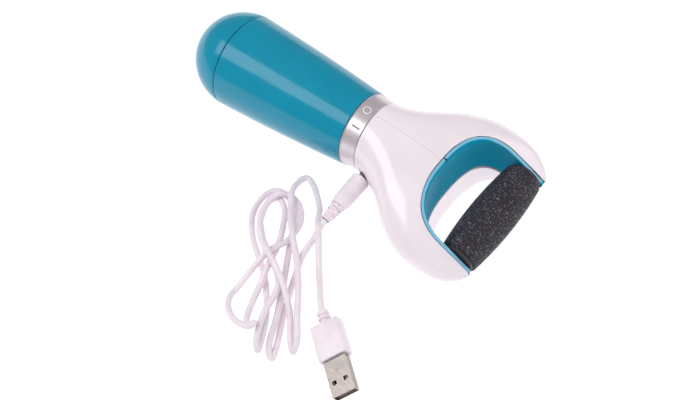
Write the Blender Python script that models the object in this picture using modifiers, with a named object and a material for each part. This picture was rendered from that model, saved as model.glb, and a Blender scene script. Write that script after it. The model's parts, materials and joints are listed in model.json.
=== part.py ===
"""Rechargeable electric callus remover: tapered handle, twist ring, forked head, grit roller, USB lead.

Units are metres, +Z is up. +X runs from the end cap to the roller and +Y along the roller's axis.
The origin is on the table under the middle of the body. Heights inside the head are measured from the
handle's axis, and lengths from the back of the switch ring, then moved by place().
"""
import math

import bmesh
import bpy
from mathutils import Matrix, Vector

MM = 0.001

# Handle and ring, turned about the handle's axis.
CAP_LENGTH = 27.5 * MM
HANDLE_LENGTH = 79.0 * MM
RING_LENGTH = 9.2 * MM
SEAM_RADIUS = 25.7 * MM
RING_BACK_RADIUS = 20.2 * MM
RING_FRONT_RADIUS = 19.2 * MM
HANDLE_WALL = 2.0 * MM
GAP = 0.3 * MM
SEAM_GAP = GAP / 2                # from the head's parting plane to each half
RIM_GAP = 0.65 * MM               # between the head shells and the guard

# Head.
TIP_REACH = 87.6 * MM            # ring back to the front of the arms
NOTCH_REACH = 49.0 * MM          # ring back to the middle of the rim
RIM_HEIGHT = 12.5 * MM           # rim height at the middle, above the handle's axis
RIM_SLOPE = -0.65                # the rim falls towards the arm tips
RIM_HALF_WIDTH = 31.8 * MM
HEAD_WALL = 1.8 * MM
TIP_ROUND = 12.0 * MM
GUARD_WALL = 1.9 * MM
GUARD_SET_BACK = 0.9 * MM        # from the arms' tips to the guard's ends
END_SET_BACK = 0.65              # share of the wall by which the shell's inside stops short of its end
U_DEPTH = 23.0 * MM              # the opening's rounded end is a squared-off ellipse
U_POWER = 2.5
U_STEPS = 12
SWEEP_WIDTH = 9.0 * MM           # how far from the opening the underside starts to sweep up
LIP_FADE = (64.0 * MM, 75.0 * MM)     # where the lip under the guard dies away along the arms
LIP_SHAPE = [(3.5 * MM, 0.0), (3.7 * MM, 0.06), (3.3 * MM, 0.20), (1.9 * MM, 1.0)]     # depth, rise
LIP_THINNING = 0.8               # share of the wall by which the lip's inner face is set back
LIP_GAP = 0.8 * MM

# The head's form along its length, in millimetres from the ring's back: half width, then the heights of
# the crown, the underside, the widest line and the guard's foot.
WIDTH_KNOTS = [(9.2, 19.2), (14, 20.1), (20, 22.7), (25, 25.8), (31, 30.6), (38, 36.2), (46, 41.0),
               (53, 43.5), (60, 44.5), (67, 44.5), (72, 43.8), (76, 42.7), (80, 41.3), (84, 39.6), (88, 38.0)]
CROWN_KNOTS = [(9.2, 19.2), (20, 18.4), (30, 17.4), (40, 15.8), (50, 13.4), (60, 9.8), (70, 5.0),
               (80, -1.5), (90, -8.0)]
UNDER_KNOTS = [(9.2, -19.2), (16, -20.4), (26, -24.2), (34, -26.8), (42, -28.0), (90, -28.0)]
WIDEST_KNOTS = [(9.2, 0.0), (20, -1.0), (30, -3.0), (40, -5.5), (50, -7.5), (60, -9.0), (70, -10.5),
                (80, -12.5), (88, -13.5)]
GUARD_FOOT_KNOTS = [(49, -13.2), (53, -13.4), (58, -16.6), (63, -20.6), (66, -21.3), (90, -21.3)]
NECK_STATIONS = 9
ARM_STATIONS = 16
ACROSS = 6

# Roller.
ROLLER_REACH = 77.8 * MM
ROLLER_HEIGHT = -13.2 * MM
ROLLER_HALF_LENGTH = 27.6 * MM
ROLLER_MID_RADIUS = 11.6 * MM
ROLLER_END_RADIUS = 9.7 * MM
ROLLER_BORE_RADIUS = 8.0 * MM
CAP_FLANGE_RADIUS = 8.7 * MM
CAP_FLANGE_WIDTH = 1.6 * MM
SPINDLE_RADIUS = 2.0 * MM
BUSH_RADIUS = 3.1 * MM
SPRING_LENGTH = 4.2 * MM

AXIS_HEIGHT = SEAM_RADIUS        # the end cap rests on the table
MIDDLE = (TIP_REACH - HANDLE_LENGTH - CAP_LENGTH) / 2     # half way from the cap's end to the arms' tips

# Cell and motor.
CELL_FRONT = -2.0 * MM
CELL_LENGTH = 65.0 * MM
CELL_RADIUS = 9.2 * MM
MOTOR_END = 9.0 * MM             # along +Y
MOTOR_LENGTH = 28.0 * MM
MOTOR_RADIUS = 9.0 * MM
SHAFT_RADIUS = 1.0 * MM

# Gears, in two stages: the first between the motor and the layshaft, the second inside the arm.
MODULE = 0.6 * MM
BACKLASH = 0.14 * MM
PRESSURE = math.radians(25.0)
TRAIN = {"motor_pinion": 12, "layshaft_gear": 19, "layshaft_pinion": 14, "idler_gear_rear": 19,
         "idler_gear_front": 19, "roller_drive_gear": 12}
LAYSHAFT_AT = (47.0 * MM, -9.0 * MM)
FIRST_STAGE_SIDE = 22.0 * MM     # inner faces of the gears, from the middle plane
SECOND_STAGE_SIDE = 32.4 * MM
FACE_WIDTH = 1.9 * MM

# Charging lead. The barrel plug stands along -Y; the USB plug lies on the table.
PLUG_AT = (15.0 * MM, 0.0, -6.0 * MM)
LEAD_RADIUS = 1.65 * MM
LEAD_STEEPNESS = 1.2             # how fast a strand climbs over the one below
LEAD_SHADOW = 9.0 * MM           # strand nearer than this along the lead is the same strand
LEAD_HELD = 3.5 * MM             # stretches lifted above this keep their own height
# Plan of the lead from the barrel plug to the USB plug, in millimetres from the ring's back and the middle
# plane, as one list for each lay of the loose bundle. The third number holds a stretch clear of the table.
LEAD_LAYS = [
    [(15, -51, 19.7), (15, -54, 19.2), (15, -60, 15.4), (14, -69, 10), (18, -82, 6), (24, -96, 5),
     (31, -110, 3), (34, -118, 0), (30, -115, 0)],
    [(24, -101, 0), (15, -85, 0), (7, -72, 0), (-1, -60, 0), (-8, -50, 0), (-16, -44, 0), (-25, -43, 0),
     (-29, -50, 0), (-27, -61, 0), (-19, -71, 0), (-8, -79, 0), (1, -85, 0), (10, -93, 0), (20, -104, 0),
     (26, -114, 0), (28, -120, 0), (26, -118, 0)],
    [(20, -104, 0), (18, -95, 0), (14, -87, 0), (4, -80, 0), (-6, -75, 0), (-16, -68, 0), (-22, -59, 0),
     (-24, -52, 0), (-21, -47, 0), (-14, -51, 0), (-6, -61, 0), (1, -74, 0), (6, -89, 0), (10, -102, 0),
     (15, -112, 0), (20, -115, 0), (22, -113, 0), (20, -117, 0)],
    [(12, -117, 0), (3, -112, 0), (-2, -105, 0), (-2, -96, 0), (1, -79, 0), (3, -68, 0), (2, -58, 0),
     (-2, -51, 0), (-9, -45, 0), (-16, -44, 0), (-21, -48, 0), (-22, -54, 0), (-20, -62, 0),
     (-12, -70, 0), (-1, -78, 0), (9, -83, 0), (18, -88, 0), (29, -97, 0), (37, -107, 0), (41, -110, 0),
     (40, -105, 0)],
    [(34, -97, 0), (26, -86, 0), (15, -74, 0), (4, -64, 0), (-5, -55, 0), (-14, -44, 0), (-17, -35, 0),
     (-15, -30, 4), (-7, -34, 7), (4, -43, 12), (9, -49, 16), (12.5, -53.5, 19), (17, -58, 22),
     (25, -68, 20), (31.5, -76.5, 14), (35, -81.2, 9), (38.4, -85, 7.4), (42.3, -88, 7.2)],
]
USB_AT = (53.5 * MM, -96.4 * MM, 7.2 * MM)     # middle of the overmould, height above the table
USB_HEADING = math.radians(-37.0)
USB_ROLL = math.radians(24.0)
USB_BODY = (19.0 * MM, 15.6 * MM, 8.0 * MM)
USB_SHELL = (18.6 * MM, 12.0 * MM, 4.5 * MM)
USB_SHEET = 0.35 * MM            # thickness of the folded shell
USB_CONTACT_PITCH = 2.3 * MM

TEAL = (0.020, 0.300, 0.420)
WHITE = (0.860, 0.790, 0.840)
SILVER = (0.620, 0.600, 0.630)
STEEL = (0.600, 0.600, 0.610)
COPPER = (0.800, 0.450, 0.250)
GRIT = (0.030, 0.028, 0.035)
BLACK = (0.015, 0.015, 0.016)
NYLON = (0.750, 0.740, 0.700)
BOARD = (0.020, 0.160, 0.070)
CELL = (0.100, 0.250, 0.500)
RED = (0.500, 0.020, 0.020)


def place(x, y, z):
    """World point of a point given from the ring's back and the handle's axis."""
    return Vector((x - MIDDLE, y, z + AXIS_HEIGHT))


# ---------------------------------------------------------------- helpers

def clear_scene():
    for obj in list(bpy.data.objects):
        bpy.data.objects.remove(obj, do_unlink=True)


def collection(name):
    made = bpy.data.collections.new(name)
    bpy.context.scene.collection.children.link(made)
    return made


def material(name, colour, roughness, metallic=0.0):
    found = bpy.data.materials.get(name)
    if found:
        return found
    made = bpy.data.materials.new(name)
    made.use_nodes = True
    shader = made.node_tree.nodes["Principled BSDF"]
    shader.inputs["Base Color"].default_value = (*colour, 1.0)
    shader.inputs["Roughness"].default_value = roughness
    shader.inputs["Metallic"].default_value = metallic
    return made


def add_object(name, data, look, group=None):
    obj = bpy.data.objects.new(name, data)
    (group or PARTS).objects.link(obj)
    if look:
        data.materials.append(look)
    return obj


def mesh_from(name, build):
    data = bpy.data.meshes.new(name)
    work = bmesh.new()
    build(work)
    bmesh.ops.recalc_face_normals(work, faces=work.faces[:])
    work.to_mesh(data)
    work.free()
    return data


def smooth(obj, angle=35.0):
    obj.data.shade_smooth()
    obj.data.set_sharp_from_angle(angle=math.radians(angle))


def turned(name, profile, look, at, steps=36, axis="X"):
    """A closed profile of (along, radius) points turned about an axis through `at`."""
    data = bpy.data.meshes.new(name)
    count = len(profile)
    points = [(radius, 0.0, along) for along, radius in profile]
    edges = [(i, (i + 1) % count) for i in range(count)]
    data.from_pydata(points, edges, [])
    obj = add_object(name, data, look)
    screw = obj.modifiers.new("turn", "SCREW")
    screw.axis = "Z"
    screw.steps = steps
    screw.render_steps = steps
    screw.use_merge_vertices = True
    screw.merge_threshold = 0.00001
    turn = {"X": Matrix.Rotation(math.radians(90), 4, "Y"), "Y": Matrix.Rotation(math.radians(-90), 4, "X"),
            "Z": Matrix.Identity(4)}[axis]
    obj.matrix_world = Matrix.Translation(at) @ turn
    data.shade_smooth()
    return obj


def ring_profile(start, end, inner, outer, chamfer=0.0):
    """A tube's profile: outer side listed from the far end down to the near end."""
    c = chamfer
    points = [(end, inner), (end, outer - c), (end - c, outer), (start + c, outer), (start, outer - c),
              (start, inner)]
    if c == 0.0:
        points = [(end, inner), (end, outer), (start, outer), (start, inner)]
    return points


def rod(name, start, end, radius, look, at, steps=24, axis="X", chamfer=0.0):
    """A solid round bar from start to end along an axis through `at`."""
    def build(work):
        turn = {"X": Matrix.Rotation(math.radians(90), 4, "Y"),
                "Y": Matrix.Rotation(math.radians(-90), 4, "X"),
                "Z": Matrix.Identity(4)}[axis]
        middle = Matrix.Translation((0, 0, (start + end) / 2))
        bmesh.ops.create_cone(work, cap_ends=True, segments=steps, radius1=radius, radius2=radius,
                              depth=end - start, matrix=turn @ middle)
        if chamfer:
            edges = [e for e in work.edges
                     if len(e.link_faces) == 2 and max(len(f.verts) for f in e.link_faces) > 4]
            bmesh.ops.bevel(work, geom=edges, offset=chamfer, segments=2, profile=0.5, affect="EDGES")
    obj = add_object(name, mesh_from(name, build), look)
    obj.location = at
    smooth(obj)
    return obj


def box(name, low, high, look, bevel=0.0):
    """A block between two corners, its origin at its middle."""
    low, high = Vector(low), Vector(high)
    size = high - low

    def build(work):
        bmesh.ops.create_cube(work, size=1.0, matrix=Matrix.Diagonal((*size, 1.0)))
        if bevel:
            bmesh.ops.bevel(work, geom=work.edges[:], offset=bevel, segments=2, profile=0.5, affect="EDGES")
    obj = add_object(name, mesh_from(name, build), look)
    obj.location = (low + high) / 2
    return obj


def wire(name, points, radius, look, resolution=2):
    """A round wire through world points, as a poly spline with filled caps."""
    curve = bpy.data.curves.new(name, "CURVE")
    curve.dimensions = "3D"
    curve.bevel_depth = radius
    curve.bevel_resolution = resolution
    curve.use_fill_caps = True
    spline = curve.splines.new("POLY")
    spline.points.add(len(points) - 1)
    for target, point in zip(spline.points, points):
        target.co = (*point, 1.0)
    obj = add_object(name, curve, look)
    return obj


def cut(obj, cutters, operation="DIFFERENCE"):
    for tool in cutters:
        change = obj.modifiers.new("cut_" + tool.name, "BOOLEAN")
        change.operation = operation
        change.object = tool
        change.solver = "EXACT"


def as_cutter(obj):
    PARTS.objects.unlink(obj)
    CUTTERS.objects.link(obj)
    obj.hide_render = True
    obj.display_type = "WIRE"
    return obj


def smooth_path(knots, per_span):
    """Points of a Catmull-Rom curve through the knots."""
    ends = [knots[0], *knots, knots[-1]]
    points = []
    for i in range(1, len(ends) - 2):
        a, b, c, d = (Vector(p) for p in ends[i - 1:i + 3])
        for step in range(per_span):
            t = step / per_span
            points.append(0.5 * ((2 * b) + (c - a) * t + (2 * a - 5 * b + 4 * c - d) * t ** 2
                                 + (3 * b - a - 3 * c + d) * t ** 3))
    points.append(Vector(knots[-1]))
    return points


def table(knots, x):
    """Straight-line value at x of (x, value) knots."""
    if x <= knots[0][0]:
        return knots[0][1]
    for (x0, v0), (x1, v1) in zip(knots, knots[1:]):
        if x <= x1:
            t = (x - x0) / (x1 - x0)
            return v0 + (v1 - v0) * t
    return knots[-1][1]


def smooth_table(knots, x):
    """Cubic through (x, value) knots, with slopes taken from the neighbours."""
    count = len(knots)
    if x <= knots[0][0]:
        return knots[0][1]
    if x >= knots[-1][0]:
        return knots[-1][1]
    i = next(k for k in range(count - 1) if x <= knots[k + 1][0])

    def slope(k):
        a, b = max(k - 1, 0), min(k + 1, count - 1)
        return (knots[b][1] - knots[a][1]) / (knots[b][0] - knots[a][0])
    (x0, v0), (x1, v1) = knots[i], knots[i + 1]
    h = x1 - x0
    t = (x - x0) / h
    m0, m1 = slope(i) * h, slope(i + 1) * h
    return ((2 * t ** 3 - 3 * t ** 2 + 1) * v0 + (t ** 3 - 2 * t ** 2 + t) * m0
            + (-2 * t ** 3 + 3 * t ** 2) * v1 + (t ** 3 - t ** 2) * m1)


# ---------------------------------------------------------------- the head's form


def tip_factor(reach, inset):
    """How far the arms' sections have closed towards the tip: 1 before it, 0 at its end."""
    start = TIP_REACH - TIP_ROUND
    along_tip = (reach - start) / (TIP_ROUND - inset)
    return math.sqrt(max(0.0, 1.0 - max(0.0, along_tip) ** 2))


def half_width(reach, inset=0.0):
    wide = smooth_table(WIDTH_KNOTS, reach / MM) * MM - inset
    inner = RIM_HALF_WIDTH + RIM_GAP + inset
    if reach > TIP_REACH - TIP_ROUND:
        return inner + (wide - inner) * tip_factor(reach, inset)
    return wide


def widest_height(reach):
    """Height of the head's widest line."""
    return smooth_table(WIDEST_KNOTS, reach / MM) * MM


def rim_plane(reach):
    return RIM_HEIGHT + RIM_SLOPE * (reach - NOTCH_REACH)


def soft_min(a, b, ease):
    h = max(0.0, 1.0 - abs(a - b) / ease)
    return min(a, b) - h * h * ease / 4


def section_factor(reach, side, inset, power):
    ratio = min(1.0, abs(side) / half_width(reach, inset))
    return (1.0 - ratio ** power) ** (1.0 / power)


def rim_outline(offset, shorter=0.0):
    """The opening's U in plan from its middle to an arm's end, moved outwards by `offset`."""
    points = []
    for i in range(U_STEPS + 1):
        turn = math.radians(90.0 * i / U_STEPS)
        points.append((NOTCH_REACH + U_DEPTH * (1 - max(math.cos(turn), 0.0) ** (2 / U_POWER)),
                       RIM_HALF_WIDTH * math.sin(turn) ** (2 / U_POWER)))
    points.append((TIP_REACH - GUARD_SET_BACK - shorter, RIM_HALF_WIDTH))
    moved = []
    for i, (x, y) in enumerate(points):
        before = points[max(i - 1, 0)]
        after = points[min(i + 1, len(points) - 1)]
        direction = Vector((after[0] - before[0], after[1] - before[1])).normalized()
        if i == 0:
            direction = Vector((0.0, 1.0))
        if i == len(points) - 1:
            direction = Vector((1.0, 0.0))
        moved.append((x - direction.y * offset, y + direction.x * offset))
    moved[0] = (moved[0][0], 0.0)
    return moved


def along(points, t):
    """Point at fraction t of a plan line's length, rounded between its points."""
    lengths = [0.0]
    for a, b in zip(points, points[1:]):
        lengths.append(lengths[-1] + math.hypot(b[0] - a[0], b[1] - a[1]))
    target = t * lengths[-1]
    x = smooth_table(list(zip(lengths, [p[0] for p in points])), target)
    y = smooth_table(list(zip(lengths, [p[1] for p in points])), target)
    return x, y


def guard_foot(reach):
    """Height of the guard's lower edge, rounded up to the widest line at the arm's tip."""
    middle = widest_height(reach)
    return middle + (table(GUARD_FOOT_KNOTS, reach / MM) * MM - middle) * tip_factor(reach, 0.0)


def guard_rim(reach):
    """Height of the guard's upper edge, rounded down to the widest line at the arm's tip."""
    middle = widest_height(reach)
    return middle + (rim_plane(reach) - middle) * tip_factor(reach, 0.0)


def lip_share(reach):
    """How fully the lip under the guard is formed: 1 behind the roller, 0 along the arms' ends."""
    t = min(1.0, max(0.0, (reach - LIP_FADE[0]) / (LIP_FADE[1] - LIP_FADE[0])))
    return 1.0 - t * t * (3.0 - 2.0 * t)


def rim_distance(x, y):
    """Plan distance from a point to the opening's outline."""
    nearest = 1.0
    for (xa, ya), (xb, yb) in zip(OPENING, OPENING[1:]):
        dx, dy = xb - xa, yb - ya
        t = min(1.0, max(0.0, ((x - xa) * dx + (y - ya) * dy) / (dx * dx + dy * dy)))
        nearest = min(nearest, math.hypot(x - xa - dx * t, y - ya - dy * t))
    return nearest


def head_top(reach, side, inset=0.0):
    middle = widest_height(reach)
    crown = smooth_table(CROWN_KNOTS, reach / MM) * MM - inset
    power = table([(9.2, 2.0), (40.0, 2.3)], reach / MM)
    body = middle + (crown - middle) * tip_factor(reach, inset) * section_factor(reach, side, inset, power)
    lowered = rim_plane(reach) - inset / math.cos(math.atan(RIM_SLOPE))
    return max(soft_min(body, lowered, 2.5 * MM), min(body, middle))


def head_under(reach, side, inset=0.0):
    middle = widest_height(reach)
    under = smooth_table(UNDER_KNOTS, reach / MM) * MM + inset
    power = table([(9.2, 2.0), (45.0, 2.5)], reach / MM)
    body = middle - (middle - under) * tip_factor(reach, inset) * section_factor(reach, side, inset, power)
    body = max(body, -AXIS_HEIGHT + inset)
    # Along the arms the underside sweeps up to the guard's foot.
    nearness = max(0.0, 1.0 - rim_distance(reach, abs(side)) / SWEEP_WIDTH)
    edge = max(guard_foot(reach) + 0.3 * MM + inset, body)
    return body + (edge - body) * nearness ** 2 * (1.0 - lip_share(reach))


# ---------------------------------------------------------------- head shells and guard


def head_rows(inset):
    """Plan pairs (inner edge point, outer outline point) from the neck to the arm's tip."""
    rows = []
    start = RING_LENGTH + 0.2 * MM
    for i in range(NECK_STATIONS):
        t = i / NECK_STATIONS
        x = start + (NOTCH_REACH - RIM_GAP - inset - start) * t
        outer_x = start + (44.0 * MM - start) * t
        rows.append(((x, 0.0), (outer_x, half_width(outer_x, inset))))
    rim = rim_outline(RIM_GAP + inset, inset * END_SET_BACK)
    end = TIP_REACH - inset - 0.02 * MM
    for i in range(ARM_STATIONS + 1):
        t = i / ARM_STATIONS
        outer_x = 44.0 * MM + (end - 44.0 * MM) * (1 - (1 - t) ** 1.6)
        rows.append((along(rim, t), (outer_x, half_width(outer_x, inset))))
    return rows


def head_grid(inset, side):
    """Rows of points over the top and round to the underside of one half of the head."""
    grid = []
    for (x0, y0), (x1, y1) in head_rows(inset):
        y0 = max(y0, SEAM_GAP)
        row = []
        for k in range(2 * ACROSS + 1):
            t = math.sin(math.radians(90.0 * k / ACROSS))
            x, y = x0 + (x1 - x0) * t, y0 + (y1 - y0) * t
            z = head_top(x, y, inset) if k <= ACROSS else head_under(x, y, inset)
            if k == ACROSS:
                z = widest_height(x)
            row.append(place(x, side * y, z))
        grid.append(row)
    return grid


def lip_rows(inset, side):
    """Rows of the shell's lip, running in under the guard and sloping up to its foot."""
    rim = rim_outline(RIM_GAP + inset, inset * END_SET_BACK)
    curves = [rim_outline(inset * LIP_THINNING - depth) for depth, rise in LIP_SHAPE]
    rows = []
    for i in range(ARM_STATIONS + 1):
        t = i / ARM_STATIONS
        edge_x, edge_y = along(rim, t)
        edge_y = max(edge_y, SEAM_GAP)
        edge_z = head_under(edge_x, edge_y, inset)
        share = lip_share(edge_x)
        row = []
        for k, (curve, (depth, rise)) in enumerate(zip(curves, LIP_SHAPE)):
            x, y = along(curve, t)
            y = max(y, SEAM_GAP)
            z = edge_z + (guard_foot(x) - LIP_GAP - edge_z) * rise
            folded = edge_z + 0.15 * MM * (k + 1)
            row.append(place(edge_x + (x - edge_x) * share, side * (edge_y + (y - edge_y) * share),
                             folded + (z - folded) * share))
        rows.append(row)
    return rows


def loft_faces(work, rows):
    for upper, lower in zip(rows, rows[1:]):
        for k in range(len(upper) - 1):
            work.faces.new((upper[k], lower[k], lower[k + 1], upper[k + 1]))


def head_shell_with_lip(name, side, look):
    """One half of the head: outer and inner lofts, the lip under the guard, and the joining edge."""
    def build(work):
        sheets = []
        for inset in (0.0, HEAD_WALL):
            main = [[work.verts.new(p) for p in row] for row in head_grid(inset, side)]
            lip = [[work.verts.new(p) for p in row] for row in lip_rows(inset, side)]
            lip = [[main[NECK_STATIONS + i][-1], *row] for i, row in enumerate(lip)]
            loft_faces(work, main)
            loft_faces(work, lip)
            last = len(main) - 1
            border = [row[0] for row in main] + main[last][1:] + lip[-1][1:]
            border += [row[-1] for row in reversed(lip[:-1])] + list(reversed(lip[0][:-1]))
            border += [row[-1] for row in reversed(main[:NECK_STATIONS])] + list(reversed(main[0][1:-1]))
            sheets.append(border)
        outer, inner = sheets
        for i in range(len(outer)):
            j = (i + 1) % len(outer)
            work.faces.new((outer[i], outer[j], inner[j], inner[i]))
        bmesh.ops.triangulate(work, faces=work.faces[:])
    obj = add_object(name, mesh_from(name, build), look)
    smooth(obj)
    return obj


def roller_guard(look):
    """The teal U-shaped wall round the opening, its rim following the head's sloping face."""
    outer_line = rim_outline(0.0)
    inner_line = rim_outline(-GUARD_WALL)
    rows = []
    count = ARM_STATIONS
    for i in range(-count, count + 1):
        t = abs(i) / count
        side = -1 if i < 0 else 1
        (xo, yo), (xi, yi) = along(outer_line, t), along(inner_line, t)
        foot = guard_foot(xo)
        rim_out, rim_in = guard_rim(xo), guard_rim(xi)
        rows.append([place(xo, side * yo, foot), place(xo, side * yo, rim_out - 0.4 * MM),
                     place(xo * 0.8 + xi * 0.2, side * (yo * 0.8 + yi * 0.2), rim_out),
                     place(xo * 0.25 + xi * 0.75, side * (yo * 0.25 + yi * 0.75), rim_in + 0.1 * MM),
                     place(xi, side * yi, rim_in - 0.5 * MM), place(xi, side * yi, foot)])

    def build(work):
        sections = [[work.verts.new(p) for p in row] for row in rows]
        for a, b in zip(sections, sections[1:]):
            for k in range(len(a)):
                m = (k + 1) % len(a)
                work.faces.new((a[k], b[k], b[m], a[m]))
        work.faces.new(sections[0])
        work.faces.new(list(reversed(sections[-1])))
    obj = add_object("roller_guard", mesh_from("roller_guard", build), look)
    smooth(obj)
    holes = []
    axle = place(ROLLER_REACH, 0, ROLLER_HEIGHT)
    for side, name in ((1, "drive_hole"), (-1, "idle_hole")):
        start = side * RIM_HALF_WIDTH - 4 * MM
        hole = rod(name, start, start + 8 * MM, BUSH_RADIUS + GAP, None, axle, axis="Y")
        holes.append(as_cutter(hole))
    cut(obj, holes)
    return obj


# ---------------------------------------------------------------- handle and switch

def handle_radius(x):
    """Outer radius of the sleeve at a length from the ring's back (x is negative)."""
    t = -x / HANDLE_LENGTH
    bulge = 0.5 * MM * math.sin(math.pi * t)
    return RING_BACK_RADIUS + (SEAM_RADIUS - RING_BACK_RADIUS) * t + bulge


def handle_sleeve(look):
    start, end = -HANDLE_LENGTH + 0.3 * MM, -GAP
    stations = [end + (start - end) * i / 6 for i in range(7)]
    outer = [(x, handle_radius(x)) for x in stations]
    outer[0] = (end, outer[0][1] - 0.2 * MM)
    inner = [(x, handle_radius(x) - HANDLE_WALL) for x in reversed(stations)]
    return turned("handle_sleeve", outer + inner, look, place(0, 0, 0), steps=40)


def dome_points(length, radius, base, count, stop=0.0):
    points = []
    for i in range(count + 1):
        turn = math.radians(90 - (90 - stop) * i / count)
        points.append((base - length * math.sin(turn), radius * math.cos(turn)))
    return points


def end_cap(look):
    base = -HANDLE_LENGTH - GAP
    length = CAP_LENGTH - GAP
    outer = dome_points(length, SEAM_RADIUS, base, 8)
    inner = dome_points(length - HANDLE_WALL, SEAM_RADIUS - 2.9 * MM, base, 6)
    spigot_end = -HANDLE_LENGTH + 6.0 * MM
    spigot = [(base, SEAM_RADIUS - 2.3 * MM), (spigot_end, SEAM_RADIUS - 2.9 * MM),
              (spigot_end, SEAM_RADIUS - 4.3 * MM), (base, SEAM_RADIUS - 4.3 * MM)]
    inside = [point for point in inner if point[1] < SEAM_RADIUS - 4.4 * MM]
    profile = outer + spigot + list(reversed(inside))
    profile.reverse()
    return turned("end_cap", profile, look, place(0, 0, 0), steps=40)


def handle_parts():
    teal = material("teal_gloss_plastic", TEAL, 0.16)
    black = material("black_rubber", BLACK, 0.6)
    silver = material("silver_satin", SILVER, 0.32, 0.9)
    nylon = material("natural_nylon", NYLON, 0.5)
    copper = material("copper", COPPER, 0.3, 1.0)
    centre = place(0, 0, 0)
    handle_sleeve(teal)
    end_cap(teal)
    seal = ring_profile(-HANDLE_LENGTH - 0.12 * MM, -HANDLE_LENGTH + 0.14 * MM,
                        SEAM_RADIUS - 2.0 * MM, SEAM_RADIUS - 0.45 * MM)
    turned("end_cap_seal", seal, black, centre, steps=40)
    # Chassis: a core tube with a flange, and a loose collar behind the switch's web.
    tube = [(20.5 * MM, 14.4 * MM), (20.5 * MM, 16.0 * MM), (5.6 * MM, 16.0 * MM), (5.6 * MM, 11.6 * MM),
            (-6.0 * MM, 11.6 * MM), (-6.0 * MM, 10.0 * MM), (8.0 * MM, 10.0 * MM), (8.0 * MM, 14.4 * MM)]
    core = turned("chassis_core", tube, nylon, centre, steps=32)
    jack_window = box("jack_window", place(10.0 * MM, -18.0 * MM, -10.6 * MM),
                      place(22.0 * MM, -4.0 * MM, -1.4 * MM), None)
    cut(core, [as_cutter(jack_window)])
    turned("chassis_collar", ring_profile(-5.0 * MM, 3.4 * MM, 11.9 * MM, 16.4 * MM), nylon, centre)
    ring = [(9.0 * MM, 16.7 * MM), (9.0 * MM, RING_FRONT_RADIUS - 0.3 * MM), (8.7 * MM, RING_FRONT_RADIUS),
            (0.5 * MM, RING_BACK_RADIUS), (0.2 * MM, RING_BACK_RADIUS - 0.3 * MM), (0.2 * MM, 16.7 * MM),
            (3.9 * MM, 16.7 * MM), (3.9 * MM, 12.0 * MM), (4.8 * MM, 12.0 * MM), (4.8 * MM, 16.7 * MM)]
    turned("switch_ring", ring, silver, centre, steps=40)
    wiper_low, wiper_high = place(4.9 * MM, -2.0 * MM, 12.4 * MM), place(5.15 * MM, 2.0 * MM, 15.6 * MM)
    box("switch_wiper", wiper_low, wiper_high, copper)
    turned("contact_disc", ring_profile(5.2 * MM, 5.45 * MM, 12.0 * MM, 16.2 * MM),
           material("board_green", BOARD, 0.4), centre)


def power_parts():
    """Cell, cradle, tabs, board, jack and light, on the handle's axis."""
    steel = material("steel", STEEL, 0.3, 1.0)
    board = material("board_green", BOARD, 0.4)
    nylon = material("natural_nylon", NYLON, 0.5)
    centre = place(0, 0, 0)
    rear, front = CELL_FRONT - CELL_LENGTH, CELL_FRONT
    rod("battery_cell", rear, front, CELL_RADIUS, material("cell_wrap", CELL, 0.4), centre, 32)
    for name, start in (("battery_tab_rear", rear - 1.0 * MM), ("battery_tab_front", front + 0.4 * MM)):
        box(name, place(start, -3 * MM, -8 * MM), place(start + 0.6 * MM, 3 * MM, 8 * MM), steel)
    trough = ring_profile(rear + 3.0 * MM, front - 6.0 * MM, CELL_RADIUS + 0.4 * MM, CELL_RADIUS + 2.2 * MM)
    cradle = turned("battery_cradle", trough, nylon, centre, 36)
    top = box("cradle_opening", place(-66 * MM, -13 * MM, 0), place(-6 * MM, 13 * MM, 13 * MM), None)
    cut(cradle, [as_cutter(top)])
    box("control_board", place(9.5 * MM, -8.5 * MM, 5.0 * MM), place(25.5 * MM, 8.5 * MM, 6.2 * MM), board)
    box("charge_chip", place(14 * MM, -2.5 * MM, 6.5 * MM), place(19 * MM, 2.5 * MM, 7.7 * MM),
        material("black_plastic", BLACK, 0.4), 0.1 * MM)
    red = material("led_red", RED, 0.2)
    rod("charge_led", 9.0 * MM, 11.4 * MM, 0.9 * MM, red, place(23 * MM, 0, 0), 16, "Z")
    jack = box("dc_jack", place(10.6 * MM, -14.2 * MM, -10 * MM), place(19.4 * MM, -5.0 * MM, -2 * MM),
               material("black_plastic", BLACK, 0.4), 0.2 * MM)
    bore = rod("jack_bore", -15 * MM, -6.5 * MM, 3.1 * MM, None, place(*PLUG_AT), 24, "Y")
    cut(jack, [as_cutter(bore)])


# ---------------------------------------------------------------- motor, gears and roller

def pitch_radius(teeth):
    return teeth * MODULE / 2


def involute(base, radius):
    """Polar angle of the involute of a base circle at a radius."""
    if radius <= base:
        return 0.0
    return math.tan(math.acos(base / radius)) - math.acos(base / radius)


def gear_outline(teeth, phase):
    """Outline of an involute gear; a tooth is centred on the angle `phase`."""
    pitch = pitch_radius(teeth)
    base = pitch * math.cos(PRESSURE)
    tip, root = pitch + 0.85 * MODULE, pitch - 1.2 * MODULE
    half_pitch = math.pi / (2 * teeth) - BACKLASH / (4 * pitch)
    half_base = half_pitch + involute(base, pitch)
    radii = [max(root, base * 0.999), tip]
    points = []
    for i in range(teeth):
        centre = phase + 2 * math.pi * i / teeth
        points.append((root, centre - half_base - 0.15 / teeth))
        points += [(r, centre - half_base + involute(base, r)) for r in radii]
        points += [(r, centre + half_base - involute(base, r)) for r in reversed(radii)]
        points.append((root, centre + half_base + 0.15 / teeth))
    return [(r * math.cos(a), r * math.sin(a)) for r, a in points]


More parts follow.
